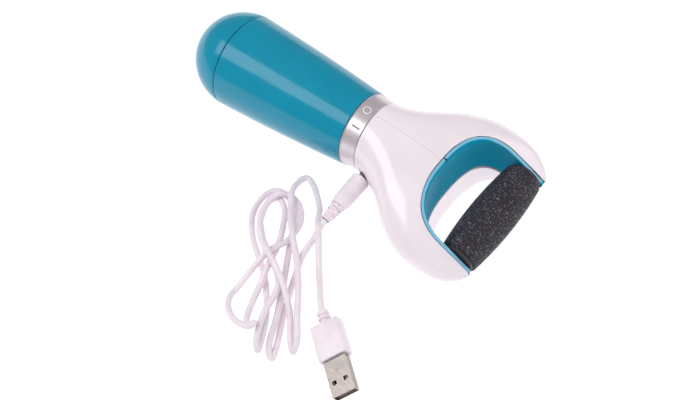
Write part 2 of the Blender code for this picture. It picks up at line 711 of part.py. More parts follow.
def spur_gear(name, teeth, at, side, phase, bore, look):
    """A gear in the XZ plane, its axis along Y through `at`, its near face at `side`."""
    outline = gear_outline(teeth, phase)

    def build(work):
        lower = [work.verts.new((x, 0.0, z)) for x, z in outline]
        upper = [work.verts.new((x, FACE_WIDTH, z)) for x, z in outline]
        count = len(outline)
        for i in range(count):
            j = (i + 1) % count
            work.faces.new((lower[i], lower[j], upper[j], upper[i]))
        holes = []
        for y in (0.0, FACE_WIDTH):
            holes.append([work.verts.new((bore * math.cos(2 * math.pi * k / 16), y,
                                          bore * math.sin(2 * math.pi * k / 16))) for k in range(16)])
        for i in range(16):
            j = (i + 1) % 16
            work.faces.new((holes[0][i], holes[1][i], holes[1][j], holes[0][j]))
        for rim, hole in ((lower, holes[0]), (upper, holes[1])):
            edges = [work.edges.get((rim[i], rim[(i + 1) % count])) for i in range(count)]
            edges += [work.edges.get((hole[i], hole[(i + 1) % 16])) for i in range(16)]
            bmesh.ops.triangle_fill(work, use_beauty=True, use_dissolve=False, edges=edges)
    obj = add_object(name, mesh_from(name, build), look)
    obj.location = place(at[0], side, at[1])
    return obj


def train_layout():
    """Centres and tooth phases of the gears, each one meshing with the one before it."""
    def distance(a, b):
        return pitch_radius(TRAIN[a]) + pitch_radius(TRAIN[b])

    roller = Vector((ROLLER_REACH, ROLLER_HEIGHT))
    lay = Vector(LAYSHAFT_AT)
    first = distance("motor_pinion", "layshaft_gear")
    motor = lay + Vector((-first, 0.0))
    span = roller - lay
    a, c = distance("layshaft_pinion", "idler_gear_rear"), distance("idler_gear_front", "roller_drive_gear")
    middle = distance("idler_gear_rear", "idler_gear_front")
    # The two idlers sit on a shallow, even dip below the line from the layshaft to the roller.
    slack = (a + middle + c - span.length) / 2
    ahead = span.normalized()
    down = Vector((ahead.y, -ahead.x))
    dip = math.sqrt(max(0.0, a ** 2 - (a - slack) ** 2))
    rear = lay + ahead * (a - slack) + down * dip
    front_reach = roller - rear
    reach = front_reach.length
    along_line = (reach ** 2 + middle ** 2 - c ** 2) / (2 * reach)
    off = math.sqrt(max(0.0, middle ** 2 - along_line ** 2))
    unit = front_reach.normalized()
    front = rear + unit * along_line + Vector((unit.y, -unit.x)) * off
    centres = {"motor_pinion": motor, "layshaft_gear": lay, "layshaft_pinion": lay, "idler_gear_rear": rear,
               "idler_gear_front": front, "roller_drive_gear": roller}
    phases = {"layshaft_pinion": 0.0, "layshaft_gear": 0.0}
    for driver, driven in (("layshaft_pinion", "idler_gear_rear"), ("idler_gear_rear", "idler_gear_front"),
                           ("idler_gear_front", "roller_drive_gear"), ("layshaft_gear", "motor_pinion")):
        line = centres[driven] - centres[driver]
        angle = math.atan2(line.y, line.x)
        turn = phases[driver] - angle
        phases[driven] = angle + math.pi + math.pi / TRAIN[driven] - turn * TRAIN[driver] / TRAIN[driven]
    return centres, phases


def drive_parts():
    steel = material("steel", STEEL, 0.3, 1.0)
    nylon = material("natural_nylon", NYLON, 0.5)
    brass = material("brass", (0.75, 0.55, 0.22), 0.3, 1.0)
    centres, phases = train_layout()
    for name, teeth in TRAIN.items():
        side = FIRST_STAGE_SIDE if name in ("motor_pinion", "layshaft_gear") else SECOND_STAGE_SIDE
        look = brass if teeth == 12 else nylon
        spur_gear(name, teeth, centres[name], side, phases[name], SHAFT_RADIUS + 0.1 * MM, look)
    motor, lay = centres["motor_pinion"], centres["layshaft_gear"]
    motor_at, lay_at = place(motor.x, 0, motor.y), place(lay.x, 0, lay.y)
    rod("motor_can", MOTOR_END - MOTOR_LENGTH, MOTOR_END, MOTOR_RADIUS, steel, motor_at, 32, "Y")
    bell = MOTOR_END + GAP
    black = material("black_plastic", BLACK, 0.4)
    rod("motor_end_bell", bell, bell + 2.5 * MM, MOTOR_RADIUS - 1.5 * MM, black, motor_at, 32, "Y")
    rod("motor_shaft", 12.2 * MM, 24.6 * MM, SHAFT_RADIUS, steel, motor_at, 16, "Y")
    rod("layshaft", 19.6 * MM, 34.5 * MM, SHAFT_RADIUS, steel, lay_at, 16, "Y")
    turned("layshaft_bush", ring_profile(28.0 * MM, 30.6 * MM, 1.12 * MM, 2.2 * MM), brass, lay_at, 24, "Y")
    for name in ("idler_gear_rear", "idler_gear_front"):
        at = place(centres[name].x, 0, centres[name].y)
        rod(name.replace("gear", "pin"), 32.3 * MM, 35.0 * MM, SHAFT_RADIUS, steel, at, 16, "Y")


def roller_parts():
    steel = material("steel", STEEL, 0.3, 1.0)
    dark = material("dark_nylon", (0.06, 0.06, 0.065), 0.45)
    nylon = material("natural_nylon", NYLON, 0.5)
    at = place(ROLLER_REACH, 0, ROLLER_HEIGHT)
    half = ROLLER_HALF_LENGTH
    count = 8
    barrel = []
    for i in range(count + 1):
        y = half - 2 * half * i / count
        radius = ROLLER_MID_RADIUS - (ROLLER_MID_RADIUS - ROLLER_END_RADIUS) * (y / half) ** 2
        barrel.append((y, radius))
    barrel[0] = (half - 0.5 * MM, barrel[0][1])
    barrel[-1] = (-half + 0.5 * MM, barrel[-1][1])
    barrel = [(half, ROLLER_END_RADIUS - 0.8 * MM), *barrel, (-half, ROLLER_END_RADIUS - 0.8 * MM)]
    bore = [(-half, ROLLER_BORE_RADIUS), (half, ROLLER_BORE_RADIUS)]
    turned("roller_sleeve", barrel + bore, material("abrasive_grit", GRIT, 0.75), at, 32, "Y")
    core = ring_profile(-half + 0.6 * MM, half - 0.6 * MM, 6.0 * MM, ROLLER_BORE_RADIUS - GAP)
    turned("roller_core", core, dark, at, 28, "Y")
    step, face = half + GAP, half + CAP_FLANGE_WIDTH
    inner = step - 3.0 * MM
    for side, name in ((1, "roller_cap_drive"), (-1, "roller_cap_idle")):
        profile = [(face, 2.3 * MM), (face, CAP_FLANGE_RADIUS), (step, CAP_FLANGE_RADIUS), (step, 5.7 * MM),
                   (inner, 5.7 * MM), (inner, 2.3 * MM)]
        profile = [(side * y, radius) for y, radius in profile[::side]]
        turned(name, profile, dark, at, 28, "Y")
    rod("drive_spindle", 25.0 * MM, 32.1 * MM, SPINDLE_RADIUS, steel, at, 24, "Y")
    rod("drive_stub", 32.2 * MM, 35.2 * MM, SHAFT_RADIUS, steel, at, 16, "Y")
    for name, low, high in (("drive_bush", 29.6 * MM, 32.0 * MM), ("idle_bush", -32.0 * MM, -29.6 * MM)):
        turned(name, ring_profile(low, high, SPINDLE_RADIUS + 0.1 * MM, BUSH_RADIUS), nylon, at, 24, "Y")
    # The sprung pin in the other arm lets the roller out.
    pin = [(-26.0 * MM, 0.0), (-26.0 * MM, 1.6 * MM), (-26.4 * MM, SPINDLE_RADIUS),
           (-33.0 * MM, SPINDLE_RADIUS), (-33.0 * MM, 2.9 * MM), (-33.8 * MM, 2.9 * MM), (-33.8 * MM, 0.0)]
    turned("idle_pin", pin, steel, at, 24, "Y")
    coil = []
    turns, per_turn = 4, 8
    for i in range(turns * per_turn + 1):
        angle = 2 * math.pi * i / per_turn
        y = -34.2 * MM - SPRING_LENGTH * i / (turns * per_turn)
        coil.append((at.x + 2.2 * MM * math.cos(angle), y, at.z + 2.2 * MM * math.sin(angle)))
    wire("idle_spring", coil, 0.25 * MM, steel, 1)


# ---------------------------------------------------------------- charging lead

def lead_material():
    return material("lead_white", WHITE, 0.42)


def lead_path():
    """World points of the lead's middle line: each strand lies on the table or over the earlier strands."""
    knots = [Vector((x * MM, y * MM, lift * MM)) for lay in LEAD_LAYS for x, y, lift in lay]
    points = smooth_path(knots, 2)
    travelled = [0.0]
    for a, b in zip(points, points[1:]):
        travelled.append(travelled[-1] + (b.xy - a.xy).length)
    pitch = 2 * LEAD_RADIUS + 0.15 * MM
    heights = []
    for i, point in enumerate(points):
        held = point.z > LEAD_HELD
        height = max(LEAD_RADIUS + 0.15 * MM, point.z)
        for j in range(i):
            if not held and travelled[i] - travelled[j] > LEAD_SHADOW:
                clear = max(0.0, (point.xy - points[j].xy).length - pitch)
                height = max(height, heights[j] + pitch - LEAD_STEEPNESS * clear)
        heights.append(height)
    spans = [heights[max(0, i - 1):i + 2] for i in range(len(heights))]
    eased = [sum(span) / len(span) for span in spans]
    eased[0], eased[-1] = heights[0], heights[-1]
    return [place(p.x, p.y, h - AXIS_HEIGHT) for p, h in zip(points, eased)]


def lead_parts():
    """Barrel plug, lead and USB plug. The barrel plug stands along -Y."""
    white = lead_material()
    steel = material("steel", STEEL, 0.3, 1.0)
    at = place(*PLUG_AT)
    rod("dc_plug_barrel", -21.8 * MM, -8.0 * MM, 2.75 * MM, steel, at, 20, "Y")
    over = [(-22.0 * MM, 0.0), (-22.0 * MM, 4.5 * MM), (-22.4 * MM, 4.9 * MM), (-36.0 * MM, 4.8 * MM),
            (-41.0 * MM, 3.9 * MM), (-50.4 * MM, 2.5 * MM), (-50.6 * MM, 0.0)]
    turned("dc_plug_overmold", over, white, at, 32, "Y")
    wire("charging_cable", lead_path(), LEAD_RADIUS, white, 1)
    usb_parts(white, steel)


def usb_parts(white, steel):
    """USB-A plug, built along its own +X and then turned and rolled into place."""
    x, y, z = USB_AT
    frame = (Matrix.Translation(place(x, y, 0) + Vector((0, 0, z - AXIS_HEIGHT)))
             @ Matrix.Rotation(USB_HEADING, 4, "Z") @ Matrix.Rotation(USB_ROLL, 4, "X"))
    nose, half_body, half_deep = (size / 2 for size in USB_BODY)
    long, wide, thick = USB_SHELL

    def settle(obj):
        obj.matrix_world = frame @ Matrix.Translation(obj.location)
        return obj
    low, high = (-nose, -half_body, -half_deep), (nose, half_body, half_deep)
    settle(box("usb_overmold", low, high, white, 1.2 * MM))
    relief = turned("usb_relief", ring_profile(-nose - 7.0 * MM, -nose - GAP, 1.9 * MM, 3.0 * MM, 0.3 * MM),
                    white, Vector((0, 0, 0)), 24)
    relief.matrix_world = frame @ relief.matrix_world
    base, mouth = nose + GAP, nose + GAP + long
    shell = settle(box("usb_shell", (base, -wide / 2, -thick / 2), (mouth, wide / 2, thick / 2), steel))
    inner_wide, inner_thick = wide / 2 - USB_SHEET, thick / 2 - USB_SHEET
    hollow = settle(box("usb_hollow", (nose + 2 * MM, -inner_wide, -inner_thick),
                        (mouth + 2 * MM, inner_wide, inner_thick), None))
    tools = [as_cutter(hollow)]
    for side in (-1, 1):
        centre = Vector((nose + 12.2 * MM, side * 3.0 * MM, thick / 2))
        size = Vector((1.1 * MM, 1.1 * MM, 1.0 * MM))
        tools.append(as_cutter(settle(box("usb_window", centre - size, centre + size, None))))
    cut(shell, tools)
    tongue_top = -0.1 * MM
    tongue_tip = nose + long - 1.2 * MM
    low, high = (nose + 2.4 * MM, -5.4 * MM, -1.75 * MM), (tongue_tip, 5.4 * MM, tongue_top)
    settle(box("usb_tongue", low, high, white))
    gold = material("gold", (0.9, 0.65, 0.25), 0.25, 1.0)
    for i in range(4):
        centre_y = (i - 1.5) * USB_CONTACT_PITCH
        low = (nose + 9.0 * MM, centre_y - 0.5 * MM, tongue_top + 0.05 * MM)
        high = (tongue_tip - 0.6 * MM, centre_y + 0.5 * MM, tongue_top + 0.25 * MM)
        settle(box("usb_contact_%d" % (i + 1), low, high, gold))


def head_parts():
    white = material("white_gloss_plastic", WHITE, 0.2)
    head_shell_with_lip("head_shell_left", 1, white)
    right = head_shell_with_lip("head_shell_right", -1, white)
    hole = rod("plug_hole", -24 * MM, -14.5 * MM, 3.6 * MM, None, place(*PLUG_AT), 24, "Y")
    seat = rod("plug_seat", -26 * MM, -19.6 * MM, 5.3 * MM, None, place(*PLUG_AT), 32, "Y")
    cut(right, [as_cutter(hole), as_cutter(seat)])
    roller_guard(material("teal_gloss_plastic", TEAL, 0.16))


clear_scene()
OPENING = rim_outline(0.0)
PARTS = collection("electric_callus_remover")
CUTTERS = collection("cutters")
handle_parts()
power_parts()
head_parts()
drive_parts()
roller_parts()
lead_parts()
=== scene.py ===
import json
import math

import bmesh
import bpy
from mathutils import Matrix, Vector


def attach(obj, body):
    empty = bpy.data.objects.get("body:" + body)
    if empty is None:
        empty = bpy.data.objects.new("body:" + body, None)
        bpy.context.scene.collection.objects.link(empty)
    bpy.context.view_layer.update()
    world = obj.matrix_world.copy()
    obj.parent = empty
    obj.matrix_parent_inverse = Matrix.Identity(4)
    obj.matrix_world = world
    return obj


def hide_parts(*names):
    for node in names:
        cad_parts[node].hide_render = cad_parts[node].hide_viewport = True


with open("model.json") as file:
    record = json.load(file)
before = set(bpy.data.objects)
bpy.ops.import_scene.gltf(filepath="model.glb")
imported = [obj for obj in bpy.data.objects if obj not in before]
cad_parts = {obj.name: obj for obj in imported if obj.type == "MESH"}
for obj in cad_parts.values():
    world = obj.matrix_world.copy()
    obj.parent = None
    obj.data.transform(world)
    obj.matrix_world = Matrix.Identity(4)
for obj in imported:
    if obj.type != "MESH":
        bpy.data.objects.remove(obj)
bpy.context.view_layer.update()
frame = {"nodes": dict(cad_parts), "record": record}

MM = 0.001

# Sizes, the outer ones as in the CAD. Lengths run from the back of the switch ring, heights from the
# handle's axis.

# Handle and end cap
CAP_LENGTH = 27.5 * MM
CAP_SHORTENED = 0.3 * MM         # the dome's pole stops this far short of the cap's length
CAP_BEND = (12.0 * MM, 7.0 * MM)      # the cap's hollow bends this far behind its mouth and inside its radius
CAP_EYE = 0.02 * MM              # hole left at the dome's pole, too small to see
HANDLE_LENGTH = 79.0 * MM
HANDLE_BULGE = 0.5 * MM          # swell past a straight cone, at the handle's middle
HANDLE_WALL = 2.0 * MM
HANDLE_EDGE = 0.35 * MM
HANDLE_STATIONS = 24
DOME_STATIONS = 28
SEAM_RADIUS = 25.7 * MM
SEAM_HALF = 0.16 * MM            # half the open seam between the cap and the sleeve
SLEEVE_SET_BACK = 0.14 * MM      # from the ring's back to the sleeve
TURNED_STEPS = 180

# Switch ring and its marks
RING_LENGTH = 9.2 * MM
RING_BACK_RADIUS = 20.2 * MM
RING_FRONT_RADIUS = 19.2 * MM
RING_BORE_RADIUS = 16.7 * MM
RING_EDGE = 0.4 * MM
RING_SET_BACK = 0.16 * MM        # open seam at each side of the ring
MARK_SHARE = 0.52                # the marks' place along the ring
MARK_BEAD = 0.26 * MM
MARK_SINK = 0.04 * MM
MARK_STEPS = 40
MARK_RADIUS = 1.9 * MM
MARK_SQUARENESS = 2.2
BAR_ARC = 10.4 * MM              # arc from the off mark to the on mark
BAR_HALF_SIZES = (2.0 * MM, 0.2 * MM)
BAR_SQUARENESS = 5.0

# Head, as (length, value) knots in mm
WIDTH_KNOTS = [(9.2, 19.2), (14, 20.1), (20, 22.7), (25, 25.8), (31, 30.6), (38, 36.2), (46, 41.0),
               (53, 43.5), (60, 44.5), (67, 44.5), (72, 43.8), (76, 42.7), (80, 41.3), (84, 39.6),
               (88, 38.0)]
CROWN_KNOTS = [(9.2, 19.2), (20, 18.4), (30, 17.4), (40, 15.8), (50, 13.4), (60, 9.8), (70, 5.0),
               (80, -1.5), (90, -8.0)]
UNDER_KNOTS = [(9.2, -19.2), (16, -20.4), (26, -24.2), (34, -26.8), (42, -28.0), (90, -28.0)]
WIDEST_KNOTS = [(9.2, 0.0), (20, -1.0), (30, -3.0), (40, -5.5), (50, -7.5), (60, -9.0), (70, -10.5),
                (80, -12.5), (88, -13.5)]
GUARD_FOOT_KNOTS = [(49.0, -13.2), (53.0, -13.4), (58.0, -16.6), (63.0, -20.6), (66.0, -21.3),
                    (90.0, -21.3)]
CROWN_POWERS = [(9.2, 2.0), (40.0, 2.3)]      # powers of the section's curve over the widest line
UNDER_POWERS = [(9.2, 2.0), (45.0, 2.5)]      # and under it
NECK_STATIONS = 22
ARM_STATIONS = 56
ACROSS = 18
NECK_GAP = 0.2 * MM
ARM_START = 44.0 * MM            # where the outer outline's rows pass from the neck to the arm
ARM_CROWDING = 1.6               # how the rows crowd towards the arm's tip
TIP_REACH = 87.6 * MM
TIP_ROUND = 12.0 * MM
TIP_MARGIN = 0.02 * MM
HEAD_WALL = 1.8 * MM
HEAD_SEAM = 0.05 * MM            # half the parting line between the head shells
END_SET_BACK = 0.65              # share of the wall by which the shell's inside stops short of its end
LIP_FACING_UP = 0.1              # lip faces that turn up by more than this have the lip's glowing look, painted light
POINTER_BACK = RING_LENGTH + 0.5 * MM
POINTER_LENGTH = 1.9 * MM
POINTER_HALF_WIDTH = 0.55 * MM
POINTER_SINK = 0.5 * MM
POINTER_RISE = 0.28 * MM
POINTER_ROUNDING = 0.25 * MM

# Opening, with a lip of the shell under the guard
NOTCH_REACH = 49.0 * MM
U_DEPTH = 23.0 * MM              # the opening's rounded end is a squared-off ellipse
U_POWER = 2.5
U_STEPS = 12
RIM_HALF_WIDTH = 31.8 * MM
RIM_HEIGHT = 12.5 * MM
RIM_SLOPE = -0.65
RIM_GAP = 0.22 * MM              # between the guard and the shells
RIM_EASE = 2.5 * MM              # blend between the crown and the rim's plane
SWEEP_WIDTH = 9.0 * MM           # how far from the opening the underside starts to sweep up
SWEEP_RISE = 0.3 * MM            # how far over the guard's foot that sweep ends
LIP_FADE = (64.0 * MM, 75.0 * MM)     # where the lip dies away along the arms
# The lip's section: depth under the guard, and share of the rise to the guard's foot.
LIP_SHAPE = [(3.5 * MM, 0.0), (3.7 * MM, 0.06), (3.3 * MM, 0.20), (1.9 * MM, 1.0)]
LIP_THINNING = 0.8
LIP_GAP = 0.8 * MM
LIP_FOLD = 0.15 * MM             # spacing of the lip's rows where it has died away
GUARD_WALL = 1.9 * MM
GUARD_SET_BACK = 0.9 * MM        # from the arms' tips to the guard's ends
GUARD_STATIONS = 72
# The guard's section: share of the wall's depth, what its height is measured from, and that height in mm,
# or as a share of the way down from the rim to the foot.
GUARD_SECTION = [(0.0, "foot", 0.0), (0.0, "rim", -0.45), (0.10, "rim", -0.1), (0.25, "rim", 0.02),
                 (0.75, "rim", 0.02), (0.92, "rim", -0.12), (1.0, "rim", -0.4), (0.84, "share", 0.14),
                 (0.66, "share", 0.35), (0.60, "share", 0.6), (0.70, "share", 0.85),
                 (0.92, "share", 0.96), (0.88, "share", 1.0)]
LEVEL_ENOUGH = 0.72              # faces this level count as the guard's rim and get its paler blue, a painted reflection
# A black block under the rim stands in for the clip slit's shadowed inside: painted shade.
SLIT_LOW = (NOTCH_REACH - 0.1 * MM, 1.8 * MM, RIM_HEIGHT - 1.8 * MM)
SLIT_HIGH = (NOTCH_REACH + 2.05 * MM, 2.3 * MM, RIM_HEIGHT - 0.18 * MM)
SLIT_ROUNDING = 0.12 * MM

# Roller and its end plugs
ROLLER_REACH = 77.8 * MM
ROLLER_HEIGHT = -13.2 * MM
ROLLER_HALF_LENGTH = 27.6 * MM
ROLLER_MID_RADIUS = 11.6 * MM
ROLLER_END_RADIUS = 9.7 * MM
ROLLER_BORE_RADIUS = 8.0 * MM
ROLLER_STEPS = 220
ROLLER_STATIONS = 130
ROLLER_EDGE = (0.5 * MM, 0.6 * MM)    # length and depth of the rounding at the sleeve's ends
GRAIN_DEPTH = 0.13 * MM
END_FLANGE_RADIUS = 8.7 * MM
END_FLANGE_FACE = 1.6 * MM       # how far the flange's face stands out of the sleeve
END_FLANGE_BACK = 0.12 * MM
END_SPIGOT = (5.7 * MM, 2.7 * MM)     # radius and depth of the part inside the sleeve
END_BORE_RADIUS = 2.3 * MM
END_HUB_RADIUS = 4.7 * MM        # the dish round the bore, with its depth and the run of its wall
END_HUB_SINK = 0.56 * MM
END_HUB_SLOPE = 0.5 * MM
END_ROUNDING = 0.35 * MM

# Charging lead
PLUG_AT = (15.0 * MM, 0.0, -6.0 * MM)
SEAT_MOUTH = 26.0 * MM           # the plug's seat, from the middle plane: its mouth, its step and its end
SEAT_STEP = 19.6 * MM
SEAT_END = 14.0 * MM
SEAT_RADIUS = 5.3 * MM
SEAT_BORE = 3.6 * MM
SEAT_EYE = 0.1 * MM              # hole along the cutter's axis, inside the bore
# The grip's section: distance from the middle plane and radius, in mm.
GRIP_PROFILE = [(22.0, 2.9), (22.0, 4.4), (22.15, 4.75), (22.5, 4.9), (24.6, 4.9), (24.8, 4.8), (25.0, 4.86),
                (36.0, 4.82), (37.2, 4.62), (40.6, 3.95), (40.8, 3.7), (40.8, 0.3), (22.0, 0.3)]
RELIEF_START = 40.9 * MM
RELIEF_END = 50.6 * MM
RELIEF_CORE = (0.3 * MM, 2.7 * MM, 1.9 * MM)      # inner radius, then the outer radius at start and end
RELIEF_RINGS = 5
RELIEF_RADIUS = 3.75 * MM        # of the first ring; the last is smaller by the taper
RELIEF_TAPER = 1.15 * MM
RELIEF_GAP = 0.75 * MM
RELIEF_EDGE = 0.22 * MM
RELIEF_FALL = 0.1 * MM           # how much smaller a ring is at its far edge
RELIEF_BORE = 1.6 * MM
BRIDGE_HALF_SIZE = (0.85 * MM, 0.55 * MM, 0.85 * MM)
BRIDGE_SINK = 0.55 * MM
BRIDGE_SHIFT = 0.35 * MM
BRIDGE_TURN = 58                 # degrees from the top to the first bridge
BRIDGE_ROUNDING = 0.2 * MM
LEAD_RADIUS = 1.65 * MM
LEAD_PITCH = 2 * LEAD_RADIUS + 0.15 * MM
LEAD_REST = LEAD_RADIUS + 0.15 * MM
LEAD_SPAN_STEPS = 6
LEAD_EASING = 3                  # points to each side over which the heights are averaged
LEAD_STEEPNESS = 1.2             # how steeply a strand climbs over another
LEAD_SHADOW = 9.0 * MM           # shorter stretches of lead than this don't lift each other
LEAD_HELD = 3.5 * MM             # knots over this height are held where they are
# The lead's lays as knots in mm: length, side and lowest height of its middle over the table.
LEAD_LAYS = [
    [(15, -51, 19.7), (15, -54, 19.2), (15, -60, 15.4), (14, -69, 10), (18, -82, 6), (24, -96, 5),
     (31, -110, 3), (34, -118, 0), (30, -115, 0)],
    [(24, -101, 0), (15, -85, 0), (7, -72, 0), (-1, -60, 0), (-8, -50, 0), (-16, -44, 0),
     (-25, -43, 0), (-29, -50, 0), (-27, -61, 0), (-19, -71, 0), (-8, -79, 0), (1, -85, 0),
     (10, -93, 0), (20, -104, 0), (26, -114, 0), (28, -120, 0), (26, -118, 0)],
    [(20, -104, 0), (18, -95, 0), (14, -87, 0), (4, -80, 0), (-6, -75, 0), (-16, -68, 0),
     (-22, -59, 0), (-24, -52, 0), (-21, -47, 0), (-14, -51, 0), (-6, -61, 0), (1, -74, 0),
     (6, -89, 0), (10, -102, 0), (15, -112, 0), (20, -115, 0), (22, -113, 0), (20, -117, 0)],
    [(12, -117, 0), (3, -112, 0), (-2, -105, 0), (-2, -96, 0), (1, -79, 0), (3, -68, 0), (2, -58, 0),
     (-2, -51, 0), (-9, -45, 0), (-16, -44, 0), (-21, -48, 0), (-22, -54, 0), (-20, -62, 0),
     (-12, -70, 0), (-1, -78, 0), (9, -83, 0), (18, -88, 0), (29, -97, 0), (37, -107, 0),
     (41, -110, 0), (40, -105, 0)],
    [(34, -97, 0), (26, -86, 0), (15, -74, 0), (4, -64, 0), (-5, -55, 0), (-14, -44, 0), (-17, -35, 0),
     (-15, -30, 4), (-7, -34, 7), (4, -43, 12), (9, -49, 16), (12.5, -53.5, 19), (17, -58, 22),
     (25, -68, 20), (31.5, -76.5, 14), (35, -81.2, 9), (38.4, -85, 7.4), (42.3, -88, 7.2)],
]
USB_AT = (53.5 * MM, -96.4 * MM, 7.2 * MM)
USB_HEADING = math.radians(-37.0)
USB_ROLL = math.radians(24.0)
USB_BODY = (19.0 * MM, 15.6 * MM, 8.0 * MM)
# The small relief behind the USB grip: distance behind the grip's tail and radius, in mm.
USB_RELIEF = [(0.0, 1.75), (0.0, 2.75), (1.3, 2.7), (1.5, 2.3), (2.1, 2.3), (2.3, 3.0), (2.7, 3.2),
              (3.4, 3.2), (3.8, 3.0), (4.0, 2.3), (4.6, 2.3), (4.8, 3.0), (5.2, 3.2), (6.1, 3.1),
              (6.95, 2.8), (6.95, 1.75)]
USB_RELIEF_GAP = 0.05 * MM
# The grip's rounding at its tail and at its nose: distance from that end in mm, and share of the full size.
USB_TAIL = [(0.0, 0.90), (0.25, 0.955), (0.9, 0.99), (1.8, 1.0)]
USB_NOSE = [(-1.0, 1.0), (-0.35, 0.975), (0.0, 0.93)]
USB_SQUARENESS = 7.0
USB_STEPS = 72
SHELL_TOP = 2.25 * MM
DIMPLE_REACH = (6.3 * MM, 7.9 * MM)   # the dimple's ends, from the grip's nose
DIMPLE_HALF_WIDTH = 0.7 * MM
DIMPLE_SINK = 0.1 * MM
DIMPLE_RISE = 0.12 * MM
DIMPLE_ROUNDING = 0.1 * MM

# CAD nodes that show as they are, with their edges rounded
SHARP_NODES = ("usb_shell", "usb_tongue", "control_board", "dc_jack")
NODE_EDGE = 0.12 * MM

# Colours
TEAL = (0.002, 0.246, 0.376)
# Paler blue painted on the guard's flat rim: a painted reflection.
RIM_REFLECTION_BLUE = (0.200, 0.480, 0.660)
WALL_TEAL = (0.004, 0.300, 0.470)
WHITE = (0.830, 0.745, 0.795)
LEAD_WHITE = (0.820, 0.730, 0.790)
GRIT_DARK = (0.004, 0.003, 0.006)
GRIT_PALE = (0.044, 0.036, 0.052)
GRIT_BRIGHT = (0.26, 0.24, 0.29)
PAPER = (0.46, 0.456, 0.46)
FLOOR_GLOW = 0.82
LIP_GLOW = 0.46
TEAL_SPECULAR = 0.34
WALL_SPECULAR = 0.02

# Camera, floor and light
CAMERA_TARGET = Vector((19.35, -33.9, 12.0)) * MM
CAMERA_AZIMUTH = math.radians(47.99)
CAMERA_ELEVATION = math.radians(56.41)
CAMERA_ROLL = math.radians(11.33)
CAMERA_DISTANCE = 0.6497
CAMERA_LENS = 68.82
SENSOR_WIDTH = 36.0              # in mm, the unit of the lens length
NEAR_CLIP = 0.01
FLOOR_HALF = 3.0
FLOOR_HEIGHT = -0.2 * MM
SKY_COLOUR = (0.98, 0.98, 1.0)
SKY_STRENGTH = 0.34
# Soft boxes: name, direction from the object, distance, width and depth in m, watts, shown in reflections.
SOFT_BOXES = [
    ("overhead_fill", (-0.1, -0.05, 1.0), 1.5, 1.8, 1.8, 9.0, False),
    ("streak_box", (-0.41, -0.43, 0.80), 1.2, 1.0, 0.56, 6.0, True),
    ("side_box", (0.6, 0.75, 0.45), 1.3, 0.5, 0.8, 2.0, True),
    ("front_fill", (0.9, -0.1, 0.6), 1.2, 0.8, 0.6, 3.0, False),
]

AXIS_HEIGHT = SEAM_RADIUS
MIDDLE = (TIP_REACH - HANDLE_LENGTH - CAP_LENGTH) / 2
AXES = {"X": Matrix.Rotation(math.radians(90), 4, "Y"), "Y": Matrix.Rotation(math.radians(-90), 4, "X")}


def place(x, y, z):
    """World point of a length from the ring's back, a side and a height from the handle's axis."""
    return Vector((x - MIDDLE, y, z + AXIS_HEIGHT))


# ---------------------------------------------------------------- materials

class Look:
    """A Principled material with helpers for the procedural detail that feeds it."""

    def __init__(self, name, colour, roughness, metallic=0.0, coat=0.0):
        self.material = bpy.data.materials.new(name)
        self.material.use_nodes = True
        self.tree = self.material.node_tree
        self.shader = self.tree.nodes["Principled BSDF"]
        self.colour = (*colour, 1.0)
        self.shader.inputs["Base Color"].default_value = self.colour
        self.shader.inputs["Roughness"].default_value = roughness
        self.shader.inputs["Metallic"].default_value = metallic
        self.shader.inputs["Coat Weight"].default_value = coat
        self.shader.inputs["Coat Roughness"].default_value = 0.06
        self.coords = self.node("ShaderNodeTexCoord").outputs["Object"]

    def node(self, kind, **settings):
        made = self.tree.nodes.new(kind)
        for key, value in settings.items():
            setattr(made, key, value)
        return made

    def link(self, source, target):
        self.tree.links.new(source, target)

    def noise(self, scale, detail=3.0, stretch=(1, 1, 1)):
        mapping = self.node("ShaderNodeMapping")
        mapping.inputs["Scale"].default_value = stretch
        self.link(self.coords, mapping.inputs["Vector"])
        made = self.node("ShaderNodeTexNoise")
        made.inputs["Scale"].default_value = scale
        made.inputs["Detail"].default_value = detail
        self.link(mapping.outputs["Vector"], made.inputs["Vector"])
        return made.outputs["Fac"]

    def cells(self, scale):
        made = self.node("ShaderNodeTexVoronoi", feature="F1")
        made.inputs["Scale"].default_value = scale
        self.link(self.coords, made.inputs["Vector"])
        return made

    def spread(self, value, low, high, to_low, to_high):
        """Maps a value's range low..high to to_low..to_high, held at its ends."""
        made = self.node("ShaderNodeMapRange")
        for key, number in zip(("From Min", "From Max", "To Min", "To Max"), (low, high, to_low, to_high)):
            made.inputs[key].default_value = number
        self.link(value, made.inputs["Value"])
        return made.outputs["Result"]

    def blend(self, factor, low, high):
        """Mixes two colours, either of them a socket or a plain colour."""
        made = self.node("ShaderNodeMix", data_type="RGBA")
        self.link(factor, made.inputs["Factor"])
        for socket, colour in ((made.inputs[6], low), (made.inputs[7], high)):
            if isinstance(colour, bpy.types.NodeSocket):
                self.link(colour, socket)
            else:
                socket.default_value = (*colour[:3], 1.0)
        return made.outputs[2]

    def total(self, first, second):
        made = self.node("ShaderNodeMath", operation="ADD")
        self.link(first, made.inputs[0])
        self.link(second, made.inputs[1])
        return made.outputs[0]

    def paint(self, output):
        self.link(output, self.shader.inputs["Base Color"])

    def roughen(self, output):
        self.link(output, self.shader.inputs["Roughness"])

    def bump(self, height, strength, distance):
        made = self.node("ShaderNodeBump")
        made.inputs["Strength"].default_value = strength
        made.inputs["Distance"].default_value = distance
        self.link(height, made.inputs["Height"])
        self.link(made.outputs["Normal"], self.shader.inputs["Normal"])


def shade(colour, factor):
    return tuple(channel * factor for channel in colour)


def shader_inputs(material):
    return material.node_tree.nodes["Principled BSDF"].inputs


def glow(material, colour, strength):
    """Gives a material a light of its own, as light bounced off the pale table would."""
    shader_inputs(material)["Emission Color"].default_value = (*colour, 1.0)
    shader_inputs(material)["Emission Strength"].default_value = strength


def dull(material, specular):
    """Lowers a material's mirror reflections."""
    shader_inputs(material)["Specular IOR Level"].default_value = specular


